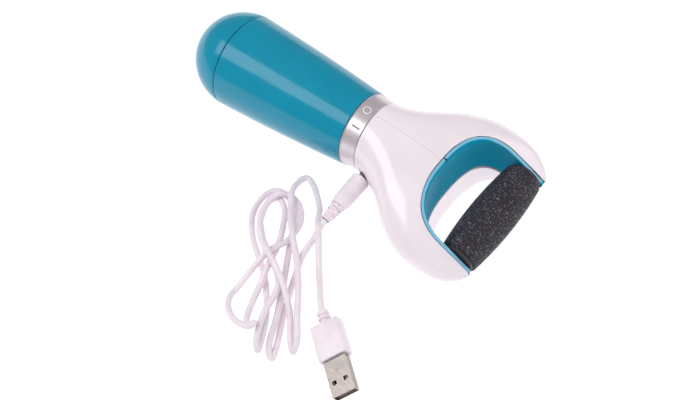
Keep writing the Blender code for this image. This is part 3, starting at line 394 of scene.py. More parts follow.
def gloss_plastic(name, colour, roughness, coat, scratch=0.5):
    """Moulded glossy plastic: slow colour drift, smear marks in the gloss and a few fine scratches."""
    look = Look(name, colour, roughness, coat=coat)
    drift = look.noise(60, 3)
    drift_share = look.spread(drift, 0.35, 0.65, 0.0, 1.0)
    look.paint(look.blend(drift_share, shade(colour, 0.975), shade(colour, 1.02)))
    smears = look.spread(look.noise(90, 5, (0.4, 1, 1)), 0.35, 0.7, roughness * 0.8, roughness * 1.45)
    fine = look.spread(look.noise(700, 2, (0.04, 1, 1)), 0.70, 0.76, 0.0, scratch)
    look.roughen(look.total(smears, fine))
    ripple = look.spread(look.noise(45, 2), 0.3, 0.7, 0.0, 1.0)
    look.bump(ripple, 0.25, 0.00025)
    return look.material


def satin_silver():
    look = Look("satin_silver", (0.70, 0.65, 0.69), 0.34, metallic=0.72)
    flake = look.spread(look.noise(5200, 2), 0.3, 0.7, 0.26, 0.44)
    look.roughen(flake)
    cloud = look.spread(look.noise(120, 4), 0.3, 0.7, 0.0, 1.0)
    look.paint(look.blend(cloud, (0.68, 0.62, 0.66), (0.74, 0.69, 0.72)))
    look.bump(look.noise(3800, 2), 0.12, 0.00004)
    return look.material


def soft_moulding(name, colour, roughness, grain=2600):
    """Matt moulded plastic or rubber with a fine eroded grain."""
    look = Look(name, colour, roughness)
    look.roughen(look.spread(look.noise(300, 4), 0.3, 0.7, roughness * 0.85, roughness * 1.2))
    look.paint(look.blend(look.spread(look.noise(140, 4), 0.35, 0.65, 0.0, 1.0), shade(colour, 0.95),
                          shade(colour, 1.03)))
    look.bump(look.noise(grain, 3), 0.15, 0.00006)
    return look.material


def metal(name, colour, roughness, stretch=(0.08, 1, 1)):
    """Drawn metal: fine lines along X and a cloudy finish."""
    look = Look(name, colour, roughness, metallic=1.0)
    look.roughen(look.spread(look.noise(900, 4, stretch), 0.3, 0.7, roughness * 0.85, roughness * 1.2))
    look.paint(look.blend(look.noise(150, 4), shade(colour, 0.94), shade(colour, 1.04)))
    look.bump(look.noise(2600, 2, stretch), 0.02, 0.00001)
    return look.material


def abrasive_grit():
    """Charcoal mineral grains in resin: sharp cells, dark gaps and bright facets here and there."""
    look = Look("abrasive_grit", (0.032, 0.028, 0.040), 0.62)
    grains = look.cells(2300)
    fine = look.noise(3400, 4)
    facet = look.node("ShaderNodeSeparateColor")
    look.link(grains.outputs["Color"], facet.inputs["Color"])
    bright = look.spread(facet.outputs["Red"], 0.86, 1.0, 0.0, 1.0)
    tone = look.blend(look.spread(fine, 0.35, 0.68, 0.0, 1.0), GRIT_DARK, GRIT_PALE)
    look.paint(look.blend(bright, tone, GRIT_BRIGHT))
    look.roughen(look.spread(facet.outputs["Green"], 0.0, 1.0, 0.30, 0.85))
    look.bump(look.total(grains.outputs["Distance"], fine), 0.9, 0.00035)
    return look.material


def floor_paper():
    look = Look("floor_paper", PAPER, 0.7)
    look.roughen(look.spread(look.noise(30, 4), 0.3, 0.7, 0.6, 0.8))
    look.bump(look.noise(500, 4), 0.03, 0.0002)
    glow(look.material, (1.0, 0.995, 1.0), FLOOR_GLOW)
    return look.material


LOOKS = {
    "teal_gloss_plastic": gloss_plastic("teal_gloss", TEAL, 0.14, 0.0, 0.3),
    "white_gloss_plastic": gloss_plastic("white_gloss", WHITE, 0.17, 0.3, 0.2),
    "silver_satin": satin_silver(),
    "abrasive_grit": abrasive_grit(),
    "steel": metal("bright_steel", (0.30, 0.268, 0.250), 0.30),
    "brass": metal("gear_brass", (0.72, 0.52, 0.22), 0.32),
    "copper": metal("strip_copper", (0.78, 0.42, 0.24), 0.3),
    "gold": metal("contact_gold", (0.86, 0.62, 0.24), 0.2),
    "natural_nylon": soft_moulding("natural_nylon", (0.74, 0.73, 0.68), 0.45),
    "dark_nylon": soft_moulding("dark_nylon", (0.030, 0.030, 0.034), 0.42),
    "black_plastic": soft_moulding("black_plastic", (0.015, 0.015, 0.016), 0.45),
    "black_rubber": soft_moulding("black_rubber", (0.010, 0.016, 0.020), 0.6),
    "board_green": soft_moulding("board_green", (0.02, 0.16, 0.07), 0.3, 900),
    "cell_wrap": gloss_plastic("cell_wrap", (0.08, 0.22, 0.50), 0.25, 0.2),
    "led_red": gloss_plastic("lamp_red", (0.45, 0.02, 0.02), 0.1, 0.5),
    "lead_white": soft_moulding("lead_white", LEAD_WHITE, 0.36),
}
MARK_PALE = soft_moulding("mark_pale", (0.92, 0.88, 0.91), 0.4)
MARK_GREY = soft_moulding("mark_grey", (0.30, 0.27, 0.29), 0.4)
LIP_GLOW_LOOK = gloss_plastic("lip_white_glowing", WHITE, 0.3, 0.0, 0.1)
RIM_REFLECTION_LOOK = gloss_plastic("rim_painted_reflection", RIM_REFLECTION_BLUE, 0.25, 0.2)
WALL_LOOK = gloss_plastic("wall_teal", WALL_TEAL, 0.3, 0.0, 0.1)
# The lip glows: painted light, standing in for light bounced up from the table into the lip's shade.
glow(LIP_GLOW_LOOK, WHITE, LIP_GLOW)
dull(LOOKS["teal_gloss_plastic"], TEAL_SPECULAR)
dull(WALL_LOOK, WALL_SPECULAR)


# ---------------------------------------------------------------- mesh helpers

def add_object(name, data):
    """A scene object that shows some data."""
    obj = bpy.data.objects.new(name, data)
    bpy.context.scene.collection.objects.link(obj)
    return obj


def faces_between(rows, close_rows=False, close_columns=False):
    """Quads over a grid of vertex numbers."""
    faces = []
    height, width = len(rows), len(rows[0])
    for i in range(height if close_rows else height - 1):
        for k in range(width if close_columns else width - 1):
            j, m = (i + 1) % height, (k + 1) % width
            faces.append((rows[i][k], rows[j][k], rows[j][m], rows[i][m]))
    return faces


def mesh_object(name, points, faces, slot, smooth=30.0):
    """A piece from points and faces, cleaned, with its normals outward and its slot's material."""
    data = bpy.data.meshes.new(name)
    work = bmesh.new()
    verts = [work.verts.new(p) for p in points]
    for face in faces:
        work.faces.new([verts[i] for i in dict.fromkeys(face)])
    bmesh.ops.remove_doubles(work, verts=work.verts[:], dist=0.000001)
    bmesh.ops.recalc_face_normals(work, faces=work.faces[:])
    work.to_mesh(data)
    work.free()
    obj = add_object(name, data)
    data.materials.append(LOOKS[slot])
    data.shade_smooth()
    data.set_sharp_from_angle(angle=math.radians(smooth))
    return obj


def settle(obj, body, slot, *nodes):
    """Ties a piece to its CAD body and hides the CAD nodes that it stands for; the slot is not used."""
    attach(obj, body)
    if nodes:
        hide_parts(*nodes)
    return obj


def turned(name, profile, at, axis, slot, steps=144, smooth=30.0):
    """A closed profile of (along, radius) points turned about an axis through `at`."""
    where = Matrix.Translation(at) @ AXES[axis]
    points, rows = [], []
    for i in range(steps):
        angle = 2 * math.pi * i / steps
        row = []
        for along_axis, radius in profile:
            row.append(len(points))
            points.append(where @ Vector((radius * math.cos(angle), radius * math.sin(angle), along_axis)))
        rows.append(row)
    return mesh_object(name, points, faces_between(rows, True, True), slot, smooth)


def tube(name, points, radius, slot, closed=False, sides=4):
    """A round cord or bead along points, as a curve with a round section."""
    curve = bpy.data.curves.new(name, "CURVE")
    curve.dimensions = "3D"
    curve.bevel_depth = radius
    curve.bevel_resolution = sides
    curve.use_fill_caps = True
    spline = curve.splines.new("POLY")
    spline.points.add(len(points) - 1)
    for target, point in zip(spline.points, points):
        target.co = (*point, 1.0)
    spline.use_cyclic_u = closed
    obj = add_object(name, curve)
    curve.materials.append(LOOKS[slot])
    return obj


def block(name, low, high, slot, bevel, segments=3):
    """A block with rounded edges between two corners."""
    low, high = Vector(low), Vector(high)
    work = bmesh.new()
    size = Matrix.Diagonal((*(high - low), 1.0))
    bmesh.ops.create_cube(work, size=1.0, matrix=Matrix.Translation((low + high) / 2) @ size)
    bmesh.ops.bevel(work, geom=work.edges[:], offset=bevel, segments=segments, profile=0.6, affect="EDGES")
    data = bpy.data.meshes.new(name)
    work.to_mesh(data)
    work.free()
    obj = add_object(name, data)
    data.materials.append(LOOKS[slot])
    data.shade_smooth()
    data.set_sharp_from_angle(angle=math.radians(35))
    return obj


def table(knots, x):
    """Straight-line value at x of (x, value) knots."""
    if x <= knots[0][0]:
        return knots[0][1]
    for (x0, v0), (x1, v1) in zip(knots, knots[1:]):
        if x <= x1:
            return v0 + (v1 - v0) * (x - x0) / (x1 - x0)
    return knots[-1][1]


def smooth_table(knots, x):
    """Cubic through (x, value) knots, with slopes taken from the neighbours."""
    count = len(knots)
    if x <= knots[0][0]:
        return knots[0][1]
    if x >= knots[-1][0]:
        return knots[-1][1]
    i = next(k for k in range(count - 1) if x <= knots[k + 1][0])

    def slope(k):
        a, b = max(k - 1, 0), min(k + 1, count - 1)
        return (knots[b][1] - knots[a][1]) / (knots[b][0] - knots[a][0])
    (x0, v0), (x1, v1) = knots[i], knots[i + 1]
    h = x1 - x0
    t = (x - x0) / h
    m0, m1 = slope(i) * h, slope(i + 1) * h
    return ((2 * t ** 3 - 3 * t ** 2 + 1) * v0 + (t ** 3 - 2 * t ** 2 + t) * m0
            + (-2 * t ** 3 + 3 * t ** 2) * v1 + (t ** 3 - t ** 2) * m1)


# ---------------------------------------------------------------- handle

def handle_radius(x):
    t = -x / HANDLE_LENGTH
    return RING_BACK_RADIUS + (SEAM_RADIUS - RING_BACK_RADIUS) * t + HANDLE_BULGE * math.sin(math.pi * t)


def rounded_end(x, radius, edge, into, count=4):
    """Points round a sleeve's outer edge of radius `edge`; `into` is +1 or -1 along the axis."""
    points = []
    for i in range(count + 1):
        turn = math.radians(90 * i / count)
        points.append((x + into * edge * (1 - math.sin(turn)), radius - edge * (1 - math.cos(turn))))
    return points


def build_handle():
    at = place(0, 0, 0)
    start, end = -HANDLE_LENGTH + SEAM_HALF, -SLEEVE_SET_BACK
    front_edge = rounded_end(end, handle_radius(end), HANDLE_EDGE, -1)
    sleeve = list(reversed(front_edge))
    for i in range(1, HANDLE_STATIONS):
        x = end + (start - end) * i / HANDLE_STATIONS
        sleeve.append((x, handle_radius(x)))
    sleeve += rounded_end(start, handle_radius(start), HANDLE_EDGE, 1)
    sleeve += [(start, handle_radius(start) - HANDLE_WALL), (end, handle_radius(end) - HANDLE_WALL)]
    skin = turned("handle_skin", sleeve, at, "X", "teal_gloss_plastic", TURNED_STEPS)
    settle(skin, "body", "teal_gloss_plastic", "handle_sleeve")

    mouth = -HANDLE_LENGTH - SEAM_HALF
    length = CAP_LENGTH - CAP_SHORTENED
    dome = [(mouth, SEAM_RADIUS - HANDLE_WALL)] + rounded_end(mouth, SEAM_RADIUS, HANDLE_EDGE, -1)
    for i in range(1, DOME_STATIONS + 1):
        turn = math.radians(90 * i / DOME_STATIONS)
        x = mouth - HANDLE_EDGE - (length - HANDLE_EDGE) * math.sin(turn)
        dome.append((x, max(SEAM_RADIUS * math.cos(turn), CAP_EYE)))
    dome += [(mouth - length + HANDLE_WALL, CAP_EYE), (mouth - CAP_BEND[0], SEAM_RADIUS - CAP_BEND[1])]
    cap = turned("end_cap_skin", dome, at, "X", "teal_gloss_plastic", TURNED_STEPS)
    settle(cap, "body", "teal_gloss_plastic", "end_cap")


# ---------------------------------------------------------------- switch ring

def ring_radius(x):
    return RING_BACK_RADIUS + (RING_FRONT_RADIUS - RING_BACK_RADIUS) * x / RING_LENGTH


def on_ring(x, arc, lift):
    """Point on the ring at a length x, an arc length from the top towards -Y, and a lift off the surface."""
    radius = ring_radius(x) + lift
    angle = arc / ring_radius(x)
    return place(x, -radius * math.sin(angle), radius * math.cos(angle))


def outline(half_x, half_arc, power, count):
    """Closed rounded outline as (x, arc) offsets; a high power squares it off."""
    points = []
    for i in range(count):
        turn = 2 * math.pi * i / count
        c, s = math.cos(turn), math.sin(turn)
        points.append((half_x * math.copysign(abs(c) ** (2 / power), c),
                       half_arc * math.copysign(abs(s) ** (2 / power), s)))
    return points


def build_ring():
    back, front = RING_SET_BACK, RING_LENGTH - RING_SET_BACK
    rear_edge = rounded_end(back, RING_BACK_RADIUS, RING_EDGE, 1)
    profile = [(front, RING_BORE_RADIUS)] + rounded_end(front, RING_FRONT_RADIUS, RING_EDGE, -1)
    profile += list(reversed(rear_edge)) + [(back, RING_BORE_RADIUS)]
    ring = turned("switch_ring_skin", profile, place(0, 0, 0), "X", "silver_satin", TURNED_STEPS)
    settle(ring, "ring", "silver_satin", "switch_ring")
    middle = RING_LENGTH * MARK_SHARE
    marks = {"mark_off": (0.0, (MARK_RADIUS, MARK_RADIUS), MARK_SQUARENESS, MARK_PALE),
             "mark_on": (BAR_ARC, BAR_HALF_SIZES, BAR_SQUARENESS, MARK_GREY)}
    for name, (arc, half_sizes, power, look) in marks.items():
        shape = outline(*half_sizes, power, MARK_STEPS)
        path = [on_ring(middle + dx, arc + da, -MARK_SINK) for dx, da in shape]
        mark = tube(name, path, MARK_BEAD, "silver_satin", closed=True)
        mark.data.materials[0] = look
        settle(mark, "ring", "silver_satin")


# ---------------------------------------------------------------- head

def tip_factor(reach, inset):
    """How far the arms' sections have closed towards the tip: 1 before it, 0 at its end."""
    start = TIP_REACH - TIP_ROUND
    along_tip = (reach - start) / (TIP_ROUND - inset)
    return math.sqrt(max(0.0, 1.0 - max(0.0, along_tip) ** 2))


def half_width(reach, inset=0.0):
    wide = smooth_table(WIDTH_KNOTS, reach / MM) * MM - inset
    inner = RIM_HALF_WIDTH + RIM_GAP + inset
    if reach > TIP_REACH - TIP_ROUND:
        return inner + (wide - inner) * tip_factor(reach, inset)
    return wide


def widest_height(reach):
    """Height of the head's widest line."""
    return smooth_table(WIDEST_KNOTS, reach / MM) * MM


def rim_plane(reach):
    return RIM_HEIGHT + RIM_SLOPE * (reach - NOTCH_REACH)


def soft_min(a, b, ease):
    h = max(0.0, 1.0 - abs(a - b) / ease)
    return min(a, b) - h * h * ease / 4


def section_factor(reach, side, inset, power):
    ratio = min(1.0, abs(side) / half_width(reach, inset))
    return (1.0 - ratio ** power) ** (1.0 / power)


def head_top(reach, side, inset=0.0):
    middle = widest_height(reach)
    crown = smooth_table(CROWN_KNOTS, reach / MM) * MM - inset
    power = table(CROWN_POWERS, reach / MM)
    body = middle + (crown - middle) * tip_factor(reach, inset) * section_factor(reach, side, inset, power)
    lowered = rim_plane(reach) - inset / math.cos(math.atan(RIM_SLOPE))
    return max(soft_min(body, lowered, RIM_EASE), min(body, middle))


def head_under(reach, side, inset=0.0):
    middle = widest_height(reach)
    under = smooth_table(UNDER_KNOTS, reach / MM) * MM + inset
    power = table(UNDER_POWERS, reach / MM)
    body = middle - (middle - under) * tip_factor(reach, inset) * section_factor(reach, side, inset, power)
    body = max(body, -AXIS_HEIGHT + inset)
    # Along the arms the underside sweeps up to the guard's foot.
    nearness = max(0.0, 1.0 - rim_distance(reach, abs(side)) / SWEEP_WIDTH)
    edge = max(guard_foot(reach) + SWEEP_RISE + inset, body)
    return body + (edge - body) * nearness ** 2 * (1.0 - lip_share(reach))


def rim_outline(offset, shorter=0.0):
    """The opening's U in plan from its middle to an arm's end, moved outwards by `offset`."""
    points = []
    for i in range(U_STEPS + 1):
        turn = math.radians(90.0 * i / U_STEPS)
        points.append((NOTCH_REACH + U_DEPTH * (1 - max(math.cos(turn), 0.0) ** (2 / U_POWER)),
                       RIM_HALF_WIDTH * math.sin(turn) ** (2 / U_POWER)))
    points.append((TIP_REACH - GUARD_SET_BACK - shorter, RIM_HALF_WIDTH))
    moved = []
    for i, (x, y) in enumerate(points):
        before = points[max(i - 1, 0)]
        after = points[min(i + 1, len(points) - 1)]
        direction = Vector((after[0] - before[0], after[1] - before[1])).normalized()
        if i == 0:
            direction = Vector((0.0, 1.0))
        if i == len(points) - 1:
            direction = Vector((1.0, 0.0))
        moved.append((x - direction.y * offset, y + direction.x * offset))
    moved[0] = (moved[0][0], 0.0)
    return moved


def along(points, t):
    """Point at fraction t of a plan line's length, rounded between its points."""
    lengths = [0.0]
    for a, b in zip(points, points[1:]):
        lengths.append(lengths[-1] + math.hypot(b[0] - a[0], b[1] - a[1]))
    target = t * lengths[-1]
    x = smooth_table(list(zip(lengths, [p[0] for p in points])), target)
    y = smooth_table(list(zip(lengths, [p[1] for p in points])), target)
    return x, y


def guard_foot(reach):
    """Height of the guard's lower edge, rounded up to the widest line at the arm's tip."""
    middle = widest_height(reach)
    return middle + (table(GUARD_FOOT_KNOTS, reach / MM) * MM - middle) * tip_factor(reach, 0.0)


def guard_rim(reach):
    """Height of the guard's upper edge, rounded down to the widest line at the arm's tip."""
    middle = widest_height(reach)
    return middle + (rim_plane(reach) - middle) * tip_factor(reach, 0.0)


def lip_share(reach):
    """How fully the lip under the guard is formed: 1 behind the roller, 0 along the arms' ends."""
    t = min(1.0, max(0.0, (reach - LIP_FADE[0]) / (LIP_FADE[1] - LIP_FADE[0])))
    return 1.0 - t * t * (3.0 - 2.0 * t)


OPENING = rim_outline(0.0)


def rim_distance(x, y):
    """Plan distance from a point to the opening's outline."""
    nearest = math.inf
    for (xa, ya), (xb, yb) in zip(OPENING, OPENING[1:]):
        dx, dy = xb - xa, yb - ya
        t = min(1.0, max(0.0, ((x - xa) * dx + (y - ya) * dy) / (dx * dx + dy * dy)))
        nearest = min(nearest, math.hypot(x - xa - dx * t, y - ya - dy * t))
    return nearest


def head_rows(inset):
    """Plan pairs (inner edge point, outer outline point) from the neck to the arm's tip."""
    rows = []
    start = RING_LENGTH + NECK_GAP
    for i in range(NECK_STATIONS):
        t = i / NECK_STATIONS
        x = start + (NOTCH_REACH - RIM_GAP - inset - start) * t
        outer_x = start + (ARM_START - start) * t
        rows.append(((x, 0.0), (outer_x, half_width(outer_x, inset))))
    rim = rim_outline(RIM_GAP + inset, inset * END_SET_BACK)
    end = TIP_REACH - inset - TIP_MARGIN
    for i in range(ARM_STATIONS + 1):
        t = i / ARM_STATIONS
        outer_x = ARM_START + (end - ARM_START) * (1 - (1 - t) ** ARM_CROWDING)
        rows.append((along(rim, t), (outer_x, half_width(outer_x, inset))))
    return rows


def head_grid(inset, side):
    """Rows of points over the top and round to the underside of one half of the head."""
    grid = []
    for (x0, y0), (x1, y1) in head_rows(inset):
        y0 = max(y0, HEAD_SEAM)
        row = []
        for k in range(2 * ACROSS + 1):
            t = math.sin(math.radians(90.0 * k / ACROSS))
            x, y = x0 + (x1 - x0) * t, y0 + (y1 - y0) * t
            z = head_top(x, y, inset) if k <= ACROSS else head_under(x, y, inset)
            if k == ACROSS:
                z = widest_height(x)
            row.append(place(x, side * y, z))
        grid.append(row)
    return grid


def lip_rows(inset, side):
    """Rows of the shell's lip, running in under the guard and sloping up to its foot."""
    rim = rim_outline(RIM_GAP + inset, inset * END_SET_BACK)
    curves = [rim_outline(inset * LIP_THINNING - depth) for depth, rise in LIP_SHAPE]
    rows = []
    for i in range(ARM_STATIONS + 1):
        t = i / ARM_STATIONS
        edge_x, edge_y = along(rim, t)
        edge_y = max(edge_y, HEAD_SEAM)
        edge_z = head_under(edge_x, edge_y, inset)
        share = lip_share(edge_x)
        row = []
        for k, (curve, (depth, rise)) in enumerate(zip(curves, LIP_SHAPE)):
            x, y = along(curve, t)
            y = max(y, HEAD_SEAM)
            z = edge_z + (guard_foot(x) - LIP_GAP - edge_z) * rise
            folded = edge_z + LIP_FOLD * (k + 1)
            row.append(place(edge_x + (x - edge_x) * share, side * (edge_y + (y - edge_y) * share),
                             folded + (z - folded) * share))
        rows.append(row)
    return rows


def build_head_half(name, side, node):
    """One half of the head: outer and inner lofts with the lip, joined round their open edges."""
    points, faces, borders, lip_faces = [], [], [], []
    for inset in (0.0, HEAD_WALL):
        main, lip = [], []
        for row in head_grid(inset, side):
            main.append(list(range(len(points), len(points) + len(row))))
            points += row
        for i, row in enumerate(lip_rows(inset, side)):
            lip.append([main[NECK_STATIONS + i][-1]] + list(range(len(points), len(points) + len(row))))
            points += row
        faces += faces_between(main)
        first = len(faces)
        faces += faces_between(lip)
        if not inset:
            lip_faces = range(first, len(faces))
        border = [row[0] for row in main] + main[-1][1:] + lip[-1][1:]
        border += [row[-1] for row in reversed(lip[:-1])] + list(reversed(lip[0][:-1]))
        border += [row[-1] for row in reversed(main[:NECK_STATIONS])] + list(reversed(main[0][1:-1]))
        borders.append(border)
    outer, inner = borders
    for i, number in enumerate(outer):
        j = (i + 1) % len(outer)
        faces.append((number, outer[j], inner[j], inner[i]))
    half = mesh_object(name, points, faces, "white_gloss_plastic", 38)
    half.data.materials.append(LIP_GLOW_LOOK)
    # Upward lip faces take the glowing lip look, painted light.
    for number in lip_faces:
        if half.data.polygons[number].normal.z > LIP_FACING_UP:
            half.data.polygons[number].material_index = 1
    return settle(half, "body", "white_gloss_plastic", node)


def build_head():
    build_head_half("head_skin_left", 1, "head_shell_left")
    right = build_head_half("head_skin_right", -1, "head_shell_right")
    seat_profile = [(-SEAT_MOUTH, SEAT_EYE), (-SEAT_MOUTH, SEAT_RADIUS), (-SEAT_STEP, SEAT_RADIUS),
                    (-SEAT_STEP, SEAT_BORE), (-SEAT_END, SEAT_BORE), (-SEAT_END, SEAT_EYE)]
    seat = turned("plug_seat_cutter", seat_profile, place(*PLUG_AT), "Y", "white_gloss_plastic", 48)
    opening = right.modifiers.new("plug_seat", "BOOLEAN")
    opening.operation = "DIFFERENCE"
    opening.object = seat
    opening.solver = "EXACT"
    seat.hide_render = True
    seat.hide_viewport = True
    # Pointer by the ring, on the parting line.
    low = place(POINTER_BACK, -POINTER_HALF_WIDTH, RING_FRONT_RADIUS - POINTER_SINK)
    high = place(POINTER_BACK + POINTER_LENGTH, POINTER_HALF_WIDTH, RING_FRONT_RADIUS + POINTER_RISE)
    pointer = block("pointer", low, high, "white_gloss_plastic", POINTER_ROUNDING)
    settle(pointer, "body", "white_gloss_plastic")


def build_guard():
    """The teal wall round the opening, with a slightly hollow inner face and its flat rim painted a paler
    blue as a painted reflection.
    """
    points, rows = [], []
    for i in range(-GUARD_STATIONS, GUARD_STATIONS + 1):
        t = abs(i) / GUARD_STATIONS
        side = -1 if i < 0 else 1
        row = []
        foot = guard_foot(along(OPENING, t)[0])
        for depth, kind, number in GUARD_SECTION:
            x, y = along(rim_outline(-GUARD_WALL * depth), t)
            if kind == "foot":
                z = foot + number * MM
            elif kind == "rim":
                z = guard_rim(x) + number * MM
            else:
                z = guard_rim(x) + (foot - guard_rim(x)) * number
            row.append(len(points))
            points.append(place(x, side * y, z))
        rows.append(row)
    faces = faces_between(rows, False, True) + [tuple(rows[0]), tuple(reversed(rows[-1]))]
    guard = mesh_object("guard_skin", points, faces, "teal_gloss_plastic", 32)
    guard.data.materials[0] = WALL_LOOK
    # The level faces take a paler blue: a painted reflection of the light on the rim's flat top.
    guard.data.materials.append(RIM_REFLECTION_LOOK)
    for face in guard.data.polygons:
        if face.normal.z > LEVEL_ENOUGH:
            face.material_index = 1
    settle(guard, "body", "teal_gloss_plastic", "roller_guard")
    # Slit in the rim where the guard clips to the head, shown by a black block: painted shade for the slit's
    # dark inside.
    slit = block("rim_slit_painted_shade", place(*SLIT_LOW), place(*SLIT_HIGH), "black_rubber", SLIT_ROUNDING)
    settle(slit, "body", "black_rubber")


# ---------------------------------------------------------------- roller

def hash_noise(i, k):
    """Steady value between 0 and 1 for a grid place."""
    return (math.sin(i * 127.1 + k * 311.7) * 43758.5453) % 1.0


def grit_radius(i, k, y):
    """Radius of the grit's surface at one place of its grid."""
    half = ROLLER_HALF_LENGTH
    edge_length, edge_depth = ROLLER_EDGE
    barrel = ROLLER_MID_RADIUS - (ROLLER_MID_RADIUS - ROLLER_END_RADIUS) * (y / half) ** 2
    edge = max(0.0, abs(y) - (half - edge_length)) / edge_length
    return barrel + GRAIN_DEPTH * (hash_noise(i, k) - 0.5) - edge_depth * edge ** 2


def build_roller():
    at = place(ROLLER_REACH, 0, ROLLER_HEIGHT)
    half = ROLLER_HALF_LENGTH
    turn_y = Matrix.Translation(at) @ AXES["Y"]
    points, rows = [], []
    for i in range(ROLLER_STEPS):
        angle = 2 * math.pi * i / ROLLER_STEPS
        lengths = [half - 2 * half * k / ROLLER_STATIONS for k in range(ROLLER_STATIONS + 1)]
        ring = [(grit_radius(i, k, y), y) for k, y in enumerate(lengths)]
        ring += [(ROLLER_BORE_RADIUS, -half), (ROLLER_BORE_RADIUS, half)]
        rows.append(list(range(len(points), len(points) + len(ring))))
        c, s = math.cos(angle), math.sin(angle)
        points += [turn_y @ Vector((radius * c, radius * s, y)) for radius, y in ring]
    sleeve = mesh_object("grit_sleeve", points, faces_between(rows, True, True), "abrasive_grit", 60)
    settle(sleeve, "roller", "abrasive_grit", "roller_sleeve")
    build_end_plug(1, "end_plug_drive", "roller_cap_drive")
    build_end_plug(-1, "end_plug_idle", "roller_cap_idle")


def build_end_plug(side, name, node):
    """A flanged plug in one end of the roller, with a shallow dish round its bore."""
    spigot_radius, spigot_depth = END_SPIGOT
    face = side * (ROLLER_HALF_LENGTH + END_FLANGE_FACE)
    back = side * (ROLLER_HALF_LENGTH + END_FLANGE_BACK)
    inner = side * (ROLLER_HALF_LENGTH - spigot_depth)
    hub = face - side * END_HUB_SINK
    profile = [(hub, END_BORE_RADIUS), (hub, END_HUB_RADIUS - END_HUB_SLOPE), (face, END_HUB_RADIUS),
               (face, END_FLANGE_RADIUS - END_HUB_SLOPE), (face - side * END_ROUNDING, END_FLANGE_RADIUS),
               (back, END_FLANGE_RADIUS), (back, spigot_radius), (inner, spigot_radius),
               (inner, END_BORE_RADIUS)]
    plug = turned(name, profile, place(ROLLER_REACH, 0, ROLLER_HEIGHT), "Y", "dark_nylon", 96)
    settle(plug, "roller", "dark_nylon", node)


# ---------------------------------------------------------------- lead

def smooth_path(knots, per_span):
    """Points of a Catmull-Rom curve through the knots."""
    ends = [knots[0], *knots, knots[-1]]
    points = []
    for i in range(1, len(ends) - 2):
        a, b, c, d = ends[i - 1:i + 3]
        for step in range(per_span):
            t = step / per_span
            points.append(0.5 * ((2 * b) + (c - a) * t + (2 * a - 5 * b + 4 * c - d) * t ** 2
                                 + (3 * b - a - 3 * c + d) * t ** 3))
    points.append(knots[-1])
    return points


def averaged(values, reach):
    """Each value replaced by the mean of its neighbours, the two ends kept."""
    eased = []
    for i in range(len(values)):
        near = values[max(0, i - reach):i + reach + 1]
        eased.append(sum(near) / len(near))
    eased[0], eased[-1] = values[0], values[-1]
    return eased


def lead_path():
    """World points of the lead's middle line: each strand lies on the table or over the earlier strands."""
    knots = [Vector((x * MM, y * MM, lift * MM)) for lay in LEAD_LAYS for x, y, lift in lay]
    points = smooth_path(knots, LEAD_SPAN_STEPS)
    travelled = [0.0]
    for a, b in zip(points, points[1:]):
        travelled.append(travelled[-1] + (b.xy - a.xy).length)
    heights = []
    for i, point in enumerate(points):
        held = point.z > LEAD_HELD
        height = max(LEAD_REST, point.z)
        for j in range(i):
            if not held and travelled[i] - travelled[j] > LEAD_SHADOW:
                clear = max(0.0, (point.xy - points[j].xy).length - LEAD_PITCH)
                height = max(height, heights[j] + LEAD_PITCH - LEAD_STEEPNESS * clear)
        heights.append(height)
    eased = averaged(heights, LEAD_EASING)
    return [place(p.x, p.y, h - AXIS_HEIGHT) for p, h in zip(points, eased)]


def build_barrel_plug():
    at = place(*PLUG_AT)
    grip = [(-reach * MM, radius * MM) for reach, radius in GRIP_PROFILE]
    settle(turned("plug_grip", grip, at, "Y", "lead_white", 96, 40), "lead", "lead_white", "dc_plug_overmold")
    # Strain relief: rings on a core, joined by staggered bridges, so that slots lie between them.
    start, end = -RELIEF_START, -RELIEF_END
    inside, thick, thin = RELIEF_CORE
    core = [(start, inside), (start, thick), (end, thin), (end, inside)]
    settle(turned("relief_core", core, at, "Y", "lead_white", 48), "lead", "lead_white")
    pitch = (start - end) / RELIEF_RINGS
    for i in range(RELIEF_RINGS):
        near = start - pitch * i - RELIEF_GAP
        radius = RELIEF_RADIUS - RELIEF_TAPER * i / (RELIEF_RINGS - 1)
        build_relief_ring(i, at, near, start - pitch * (i + 1), radius)


def build_relief_ring(i, at, near, far, radius):
    low = radius - RELIEF_EDGE
    section = [(near, RELIEF_BORE), (near, low), (near - RELIEF_EDGE, radius),
               (far + RELIEF_EDGE, radius - RELIEF_FALL), (far, low - RELIEF_FALL), (far, RELIEF_BORE)]
    ring = turned("relief_ring_%d" % (i + 1), section, at, "Y", "lead_white", 64)
    settle(ring, "lead", "lead_white")
    size = Vector(BRIDGE_HALF_SIZE)
    reach = radius - BRIDGE_SINK
    for k in range(2):
        turn = math.radians(BRIDGE_TURN + 90 * (i % 2) + 180 * k)
        middle = at + Vector((reach * math.sin(turn), near + BRIDGE_SHIFT, reach * math.cos(turn)))
        name = "relief_bridge_%d_%d" % (i + 1, k + 1)
        bridge = block(name, middle - size, middle + size, "lead_white", BRIDGE_ROUNDING, 2)
        settle(bridge, "lead", "lead_white")


def usb_frame():
    x, y, z = USB_AT
    return (Matrix.Translation(place(x, y, z - AXIS_HEIGHT)) @ Matrix.Rotation(USB_HEADING, 4, "Z")
            @ Matrix.Rotation(USB_ROLL, 4, "X"))


